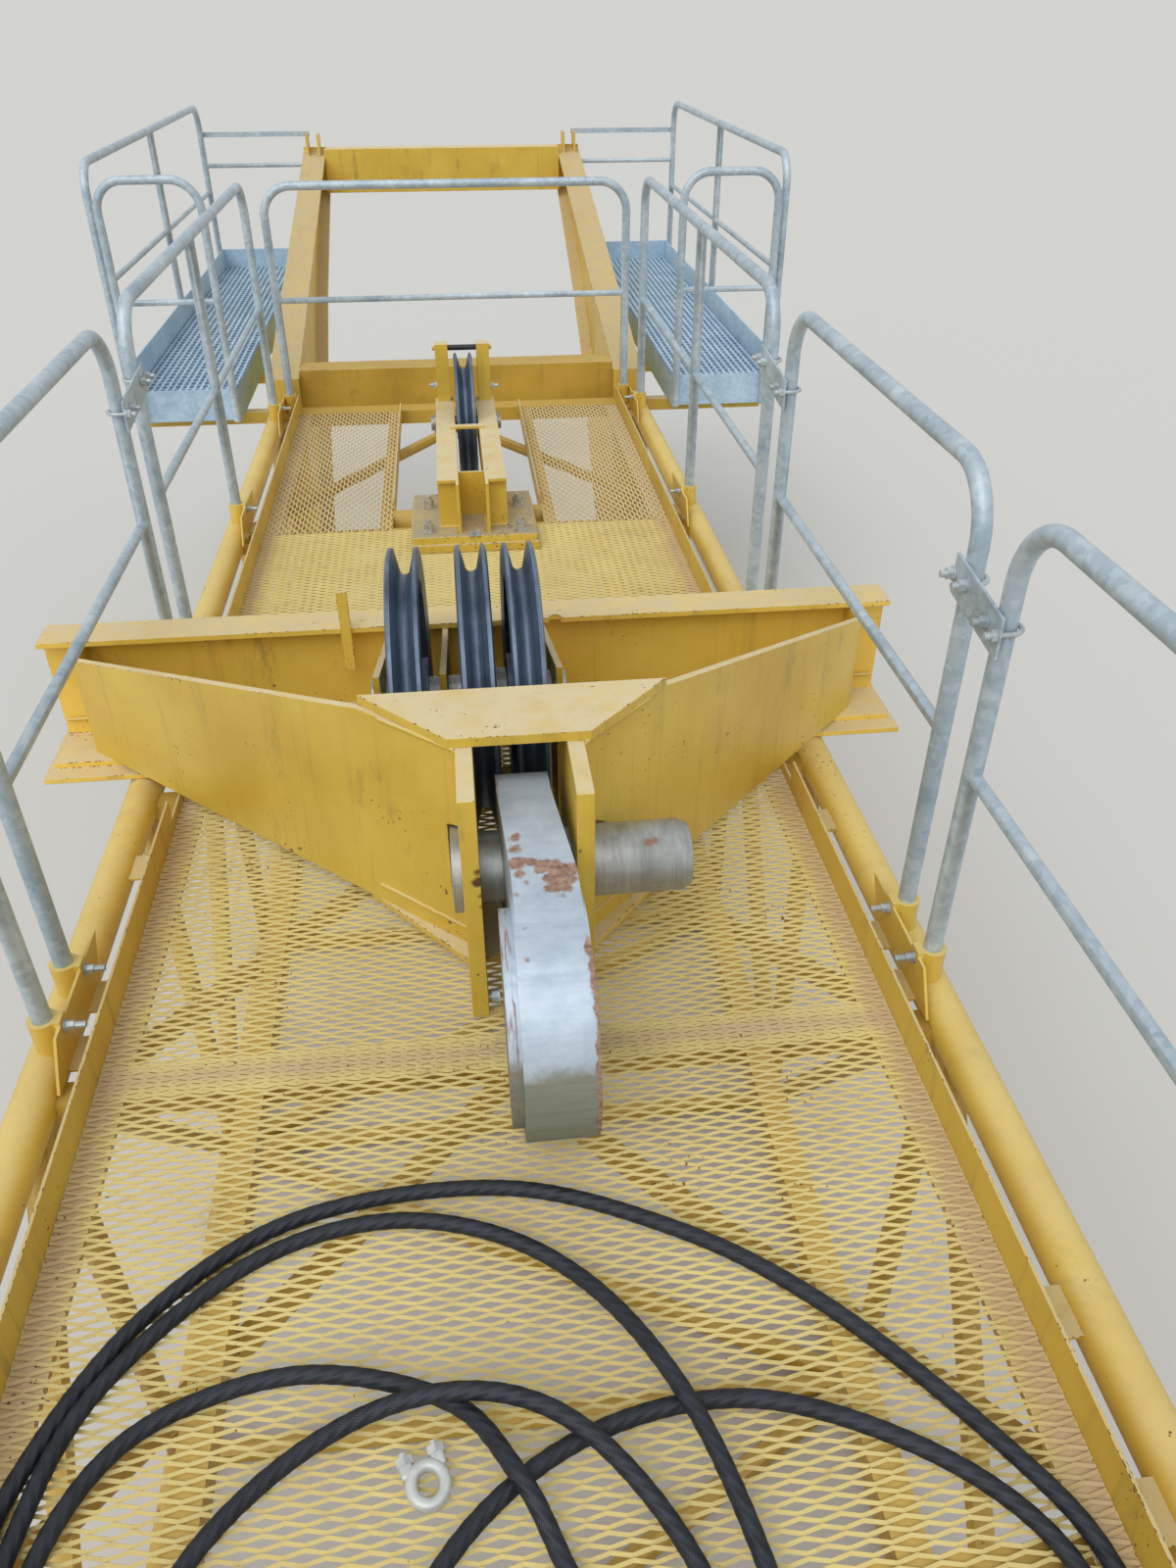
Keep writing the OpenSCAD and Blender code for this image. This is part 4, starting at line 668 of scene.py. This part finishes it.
def sheet(name, node, x, y, longAlongX, look, finish, z=0.0):
    # one sheet between two corners, its cells stretched a little to come out whole
    wide, deep = (x[1] - x[0], y[1] - y[0]) if longAlongX else (y[1] - y[0], x[1] - x[0])
    cells, rows = round(wide / look["long"]), round(2 * deep / look["short"])
    stepX, stepY = wide / cells, 2 * deep / rows
    mesh = grown(expandedMetal, {"Long Way": stepX / 1000, "Short Way": stepY / 1000,
        "Strand Width": look["strand"] / 1000, "Strand Height": look["height"] / 1000,
        "Swing": look.get("swing", stepY / 2 - look["strand"]) / 1000,
        "Tilt": math.radians(look["tilt"]), "Cells Along": cells, "Rows": rows, "Finish": finish})
    place = Matrix.Translation(Vector((stepX / 2, stepY / 4, -look["depth"] / 2)) / 1000)
    if not longAlongX:
        place = Matrix(((0, 1, 0, 0), (1, 0, 0, 0), (0, 0, 1, 0), (0, 0, 0, 1))) @ place
    mesh.transform(Matrix.Translation(deckPoint(x[0], y[0], z)) @ place)
    if not longAlongX:
        mesh.flip_normals()
    piece = keepPiece(name, mesh, "frame")
    if node:
        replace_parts(piece, node)
    return piece


joint = 1600   # the two front sheets lie over each other on this bearer
sheet("deckMeshNear", "deck_mesh_near", (-799, 799), (-1199, joint + deckMesh["lap"]), True,
    deckMesh, meshEnamel)
sheet("deckMeshMid", "deck_mesh_mid", (-799, 799), (joint - deckMesh["lap"], 4349), True, deckMesh,
    meshEnamel)
for side, x in (("Left", (-799, -302)), ("Right", (302, 799))):
    sheet("deckMeshRear" + side, "deck_mesh_rear_" + side.lower(), x, (4351, 5919), False,
        rearMesh, rearMeshEnamel)
print("deck sheets made")


# ---- steelwork: each CAD solid is merged, its plate edges are broken and given the worn finish
def dressed(node, finish, edge=0.0, edgeFinish=None, body="frame",
        smooth=38):
    mesh = nodes[node].data.copy()
    work = bmesh.new()
    work.from_mesh(mesh)
    bmesh.ops.remove_doubles(work, verts=work.verts, dist=0.00004)
    bmesh.ops.dissolve_limit(work, angle_limit=math.radians(0.5), verts=work.verts,
        edges=work.edges)
    work.to_mesh(mesh)
    work.free()
    for layer in list(mesh.uv_layers):
        mesh.uv_layers.remove(layer)
    piece = keepPiece("dressed_" + node, mesh, body, finish)
    if edge:
        if edgeFinish:
            mesh.materials.append(edgeFinish)
        bevel = piece.modifiers.new("broken edges", "BEVEL")
        bevel.width = edge
        bevel.segments = 2
        bevel.limit_method = "ANGLE"
        bevel.angle_limit = math.radians(50)
        bevel.material = 1 if edgeFinish else -1
        bevel.harden_normals = True
    mesh.shade_smooth()
    mesh.set_sharp_from_angle(angle=math.radians(smooth))
    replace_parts(piece, node)
    return piece


def roundTube(piece, x, z, radius):
    # the CAD's long facets are uneven, so the tube's normals are taken from its axis
    mesh = piece.data
    normals = [Vector(corner.vector) for corner in mesh.corner_normals]
    for face in mesh.polygons:
        for k, vertex in zip(face.loop_indices, face.vertices):
            out = mesh.vertices[vertex].co - deckPoint(x, 0, z)
            out.y = 0
            if abs(out.length - radius / 1000) < 0.0006 and abs(
                    face.normal.dot(out.normalized())) > 0.98:
                normals[k] = out.normalized()
    mesh.normals_split_custom_set(normals)


plateNodes = ["beam_wings", "beam_top_plate", "beam_cheeks", "stand_arms", "tail_cross_far",
              "well_toe_boards", "catwalk_outriggers_left", "catwalk_outriggers_right"]
for node in plateNodes:
    dressed(node, yellowEnamel, 0.0018, edgeEnamel, smooth=20)
# the girder takes the lighter paint, painted light in its shaded web
for node, finish, edgeFinish in (
        ("beam_lugs", lugEnamel, lugEnamel), ("beam_girder", girderLightenedEnamel, edgeEnamel),
        ("tail_girder_left", tailEnamel, edgeEnamel), ("tail_girder_right", tailEnamel, edgeEnamel)):
    dressed(node, finish, 0.0018, edgeFinish, smooth=20)
# the tail's near cross takes the darker paint, painted shade
dressed("tail_cross_near", shadePaintedEnamel, 0.0018, edgeEnamel)
for node in ("toe_board_left", "toe_board_right"):
    dressed(node, toeEnamel, 0.0012, edgeEnamel)
dressed("stand_base", soiledEnamel, 0.0018, edgeEnamel)
# the bottom chords take the darker paint, painted shade under the deck
for s, side in ((-1, "left"), (1, "right")):
    roundTube(dressed("chord_top_" + side, chordEnamel), s * 920, -30, 44.5)
    roundTube(dressed("chord_bottom_" + side, shadePaintedEnamel), s * 920, -1455.5, 44.5)
    dressed("rail_sockets_" + side, chordEnamel)
# the lattices, bearers and bracing take the darker paint, painted shade under the deck
for node in ["side_lattice_left", "side_lattice_right", "bottom_lattice", "deck_bearers",
        "well_bearers", "deck_bracing"]:
    dressed(node, shadePaintedEnamel)
for node in ["rail_near_left", "rail_near_right", "rail_mid_left", "rail_mid_right",
        "rail_far_left", "rail_far_right", "rail_end", "catwalk_rail_left", "catwalk_rail_right"]:
    dressed(node, tubeZinc)
dressed("rail_splices", tubeZinc, 0.0012)
dressed("beam_axle", axleSteel, 0.0015)
dressed("stand_axle", axleSteel, 0.0015)
dressed("big_pin", pinSteel, 0.0015)
for node, body in (("beam_sheave_1", "sheave_left"), ("beam_sheave_2", "sheave_middle"),
        ("beam_sheave_3", "sheave_right"), ("stand_sheave", "sheave_stand")):
    dressed(node, standSheaveSteel if node == "stand_sheave" else sheaveSteel,
        body=body, smooth=25)
dressed("link", linkPaint, 0.003, body="link")
# the trays' top faces take the dark zinc, painted shade under the walking mesh
for node in ("catwalk_left", "catwalk_right"):
    tray = dressed(node, sheetZinc, 0.001).data
    tray.materials.append(trayShadeZinc)
    for face in tray.polygons:
        if face.normal.z > 0.9 and face.area > 0.2:
            face.material_index = 1

# rope clip: a thick forged ring round the rope's seat, two shoulders and the ends of its U-bolt
clip = {"at": (-157, 790, 0.5), "turn": 17, "outer": (33, 36), "hole": (15, 19), "tall": 22,
    "shoulder": (23, 29, 10), "legRadius": 6.2, "legEnd": 54, "nut": (13.5, 12, 35)}
forged = bmesh.new()
loops = []
for k in range(40):
    angle = 2 * math.pi * k / 40
    inner, outer = (Vector((clip[edge][0] * math.cos(angle), clip[edge][1] * math.sin(angle)))
        for edge in ("hole", "outer"))
    loops.append([])
    for j in range(12):
        slant = 2 * math.pi * j / 12
        # a squarish ring section, flatter where it meets the deck
        reach = 0.5 + 0.5 * math.copysign(abs(math.cos(slant)) ** 0.7, math.cos(slant))
        rise = 0.5 + 0.5 * math.copysign(abs(math.sin(slant)) ** 0.7, math.sin(slant))
        spot = inner.lerp(outer, reach)
        loops[-1].append(forged.verts.new((spot.x, spot.y, clip["tall"] * rise)))
for k in range(40):
    for j in range(12):
        forged.faces.new((loops[k][j], loops[(k + 1) % 40][j], loops[(k + 1) % 40][(j + 1) % 12],
            loops[k][(j + 1) % 12]))
for s in (-1, 1):
    x, y, half = clip["shoulder"]
    block = bmesh.ops.create_cube(forged, size=1)["verts"]
    bmesh.ops.scale(forged, vec=(20, 25, 19), verts=block)
    bmesh.ops.translate(forged, vec=(s * x, y, half), verts=block)
    bmesh.ops.bevel(
        forged, geom=[e for e in forged.edges if e.verts[0] in block and e.verts[1] in block],
        offset=4.5, segments=4, profile=0.5, affect="EDGES")
    for radius, corners, start, end in ((clip["legRadius"], 16, 34, clip["legEnd"]),
            (clip["nut"][0], 6, clip["nut"][2], clip["nut"][2] + clip["nut"][1])):
        bmesh.ops.create_cone(forged, cap_ends=True, segments=corners, radius1=radius,
            radius2=radius, depth=end - start,
            matrix=Matrix.Translation((s * x, (start + end) / 2, half + 1))
            @ Matrix.Rotation(-math.pi / 2, 4, "X"))
bmesh.ops.recalc_face_normals(forged, faces=forged.faces)
place = (Matrix.Translation(deckPoint(*clip["at"]))
         @ Matrix.Rotation(math.radians(clip["turn"]), 4, "Z") @ Matrix.Scale(0.001, 4))
bmesh.ops.transform(forged, matrix=place, verts=forged.verts)
clipMesh = bpy.data.meshes.new("forgedClip")
forged.to_mesh(clipMesh)
forged.free()
clipMesh.shade_smooth()
clipMesh.set_sharp_from_angle(angle=math.radians(42))
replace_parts(keepPiece("forgedClip", clipMesh, "frame", clipZinc), "rope_clip")
print("steelwork dressed")

# ---- grating of the catwalks on their trays: wavy bars along the walk, rods across them
walkBars = {"long": 60, "short": 66, "strand": 14, "height": 1.5, "swing": 5, "tilt": 8,
    "depth": 3.5}
walkRods = {"long": 124, "short": 120, "strand": 5, "height": 3, "swing": 0, "tilt": 0, "depth": 3}
walkTop = 113.4
for side, x in (("Left", (-1598, -1102)), ("Right", (1102, 1598))):
    sheet("walkBars" + side, None, x, (6002, 9148), False, walkBars, sheetZinc,
        walkTop)
    sheet("walkRods" + side, None, x, (6002, 9148), True, walkRods, sheetZinc,
        walkTop - 0.5)
print("catwalk mesh made")


# ---- fasteners and welds
def bolted(name, places, look, finish=boltZinc):
    # places: x, y, z of the seat and the way the bolt stands
    seeds = bpy.data.meshes.new(name + "Seeds")
    seeds.from_pydata([deckPoint(*place[:3]) for place in places], [], [])
    axes = seeds.attributes.new("axis", "FLOAT_VECTOR", "POINT")
    for i, place in enumerate(places):
        axes.data[i].vector = place[3]
    sizes = {part.title() + " " + size: value / 1000 for part in ("washer", "head", "thread")
             for size, value in zip(("Radius", "Height"), look[part])}
    return keepPiece(name, grown(hexBolts, dict(sizes, Finish=finish), seeds), "frame")


def beaded(name, lines, look, finish):
    # lines: rows of points, each row one weld or one bent rod
    seeds = bpy.data.meshes.new(name + "Seeds")
    spots, edges = [], []
    for line in lines:
        edges += [(len(spots) + k, len(spots) + k + 1) for k in range(len(line) - 1)]
        spots += [deckPoint(*point) for point in line]
    seeds.from_pydata(spots, edges, [])
    mesh = grown(beads, {"Radius": look["radius"] / 1000, "Step": look["step"] / 1000,
        "Ripple": look["ripple"] / 1000, "Sides": look["sides"], "Seed": look["seed"],
        "Finish": finish}, seeds)
    mesh.shade_smooth()
    return keepPiece(name, mesh, "frame")


up, toLeft, toRight = (0, 0, 1), (-1, 0, 0), (1, 0, 0)
standBolts = {"washer": (24, 5), "head": (19, 30), "thread": (11, 14)}
bolted("standBolts", [(x, y, 60, up) for x, y in (
    (-152, 4415), (-152, 4163), (198, 4407), (197, 4152))], standBolts, rustyBolt)
bolted("standPlateBolts", [(-97, 5220, 315, toLeft), (137, 5220, 306, toRight)],
    {"washer": (15, 3), "head": (13, 12), "thread": (8, 18)})
bolted("standSmallBolts", [(8, 4112, 60, up), (32, 4112, 60, up)],
    {"washer": (12, 3), "head": (10, 9), "thread": (6, 6)})
beaded("keeperSleeve", [[(-42, 5220, 472), (82, 5220, 472)]],
    {"radius": 11.5, "step": 30, "ripple": 0, "sides": 20, "seed": 1.0}, keeperBlack)
socketBolts = {"washer": (14, 3), "head": (10, 16), "thread": (6.5, 22)}
legs = (-1000, 350, 1700, 1860, 3160, 3380, 4470, 5800)
bolted("socketBolts", [(s * 867, y, 66, (-s, 0, 0)) for s in (-1, 1) for y in legs], socketBolts)
splices = ((1700, 838), (1860, 858), (3160, 838), (3380, 862))
spliceBolts = {"washer": (14, 3), "head": (12, 11), "thread": (7, 12)}
bolted("spliceBolts", [(s * 879, y + dy, z, (-s, 0, 0))
                       for s in (-1, 1) for y, z in splices for dy in (-27, 27)], spliceBolts)
# U-bolts that clamp each leg to its splice plate
hooks = []
for s in (-1, 1):
    for y, z in splices:
        bend = [math.pi * k / 8 for k in range(1, 8)]
        hooks.append(
            [(s * 882, y - 27, z), (s * 905, y - 27, z)]
            + [(s * (905 + 27 * math.sin(a)), y - 27 * math.cos(a), z) for a in bend]
            + [(s * 905, y + 27, z), (s * 882, y + 27, z)])
beaded("railHooks", hooks, {"radius": 5, "step": 8, "ripple": 0, "sides": 8, "seed": 1.0},
    boltZinc)
bolted("lugBolt", [(-8, 1712, 40, toLeft)], {"washer": (17, 4), "head": (13, 13), "thread": (8, 8)})
print("fasteners made")

# welds: two rows where plates of the beam meet, rings where the stand's arms meet its base
wing = {"start": 140, "aside": 60, "end": 1050, "nearY": 1880, "farY": 2750, "proud": 2}


def wingSpot(s, along, z):
    # a point on a front plate's outer face, so far from the nose towards the foot
    start = wing["start"] + s * wing["aside"]
    slope = (wing["farY"] - wing["nearY"]) / (wing["end"] - start)
    return s * (start + along), wing["nearY"] + slope * along - wing["proud"], z


welds = [[wingSpot(s, a, b), wingSpot(s, c, d)] for s in (-1, 1) for a, b, c, d in (
    (-13, 80, -13, 548), (-12, 548, 136, 548), (-11, 94, 176, 94))]
for x in (-28, 68, 148, -108):
    welds.append([(x, 4212, 61), (x, 4555, 61)])
for x0, x1 in ((-110, -28), (68, 150)):
    welds.append([(x0, 4204, 62), (x1, 4204, 62)])
for z in (96, 330):
    welds.append([(-1140, 2846, z), (1140, 2846, z)])
weldLook = {"radius": 4.5, "step": 7, "ripple": 3.0, "sides": 6, "seed": 4.0}
beaded("plateWelds", welds, weldLook, yellowEnamel)
print("welds made")

# ---- floor, light
studio = {"floor": "#CFCECA", "sky": 0.72, "reach": 900, "behind": "#D6D6D4", "lamps": [
    {"name": "soft key lamp", "energy": 0.6, "softness": 50, "from": (-0.4, -0.55, 1.0)},
    {"name": "soft front lamp", "energy": 0.95, "softness": 60, "from": (-0.45, -0.9, 1.0)}]}
floorMaterial, add, shader, coords = startFinish("pale studio floor")
feed(shader, {"Base Color": linear(studio["floor"]), "Roughness": 0.9})
floorMesh = bpy.data.meshes.new("floor")
corner = studio["reach"]
floorMesh.from_pydata([(-corner, -corner, -0.002), (corner, -corner, -0.002),
    (corner, corner, -0.002), (-corner, corner, -0.002)], [], [(0, 1, 2, 3)])
floorMesh.materials.append(floorMaterial)
floor = bpy.data.objects.new("floor", floorMesh)
scene.collection.objects.link(floor)

world = bpy.data.worlds.new("soft sky")
scene.world = world
world.use_nodes = True
sky = world.node_tree.nodes["Background"]
feed(sky, {"Color": linear("#F4F6F8"), "Strength": studio["sky"]})
# what the camera, gloss and glass see behind the part is the floor's own tone
add = functools.partial(addNode, world.node_tree)
behind = add("ShaderNodeBackground", {}, {"Color": linear(studio["behind"]), "Strength": 1.0})
ray = add("ShaderNodeLightPath")
seen = add("ShaderNodeMixShader", {}, {
    0: largest(add, [ray.outputs[kind] for kind in ("Is Camera Ray", "Is Glossy Ray",
    "Is Transmission Ray")]), 1: sky, 2: behind})
feed(world.node_tree.nodes["World Output"], {0: seen})
for wanted in studio["lamps"]:
    lampData = bpy.data.lights.new(wanted["name"], "SUN")
    lampData.energy = wanted["energy"]
    lampData.angle = math.radians(wanted["softness"])
    lamp = bpy.data.objects.new(wanted["name"], lampData)
    lamp.rotation_euler = Vector(wanted["from"]).to_track_quat("Z", "Y").to_euler()
    scene.collection.objects.link(lamp)
scene.view_settings.view_transform = "Standard"
print("floor and light set")
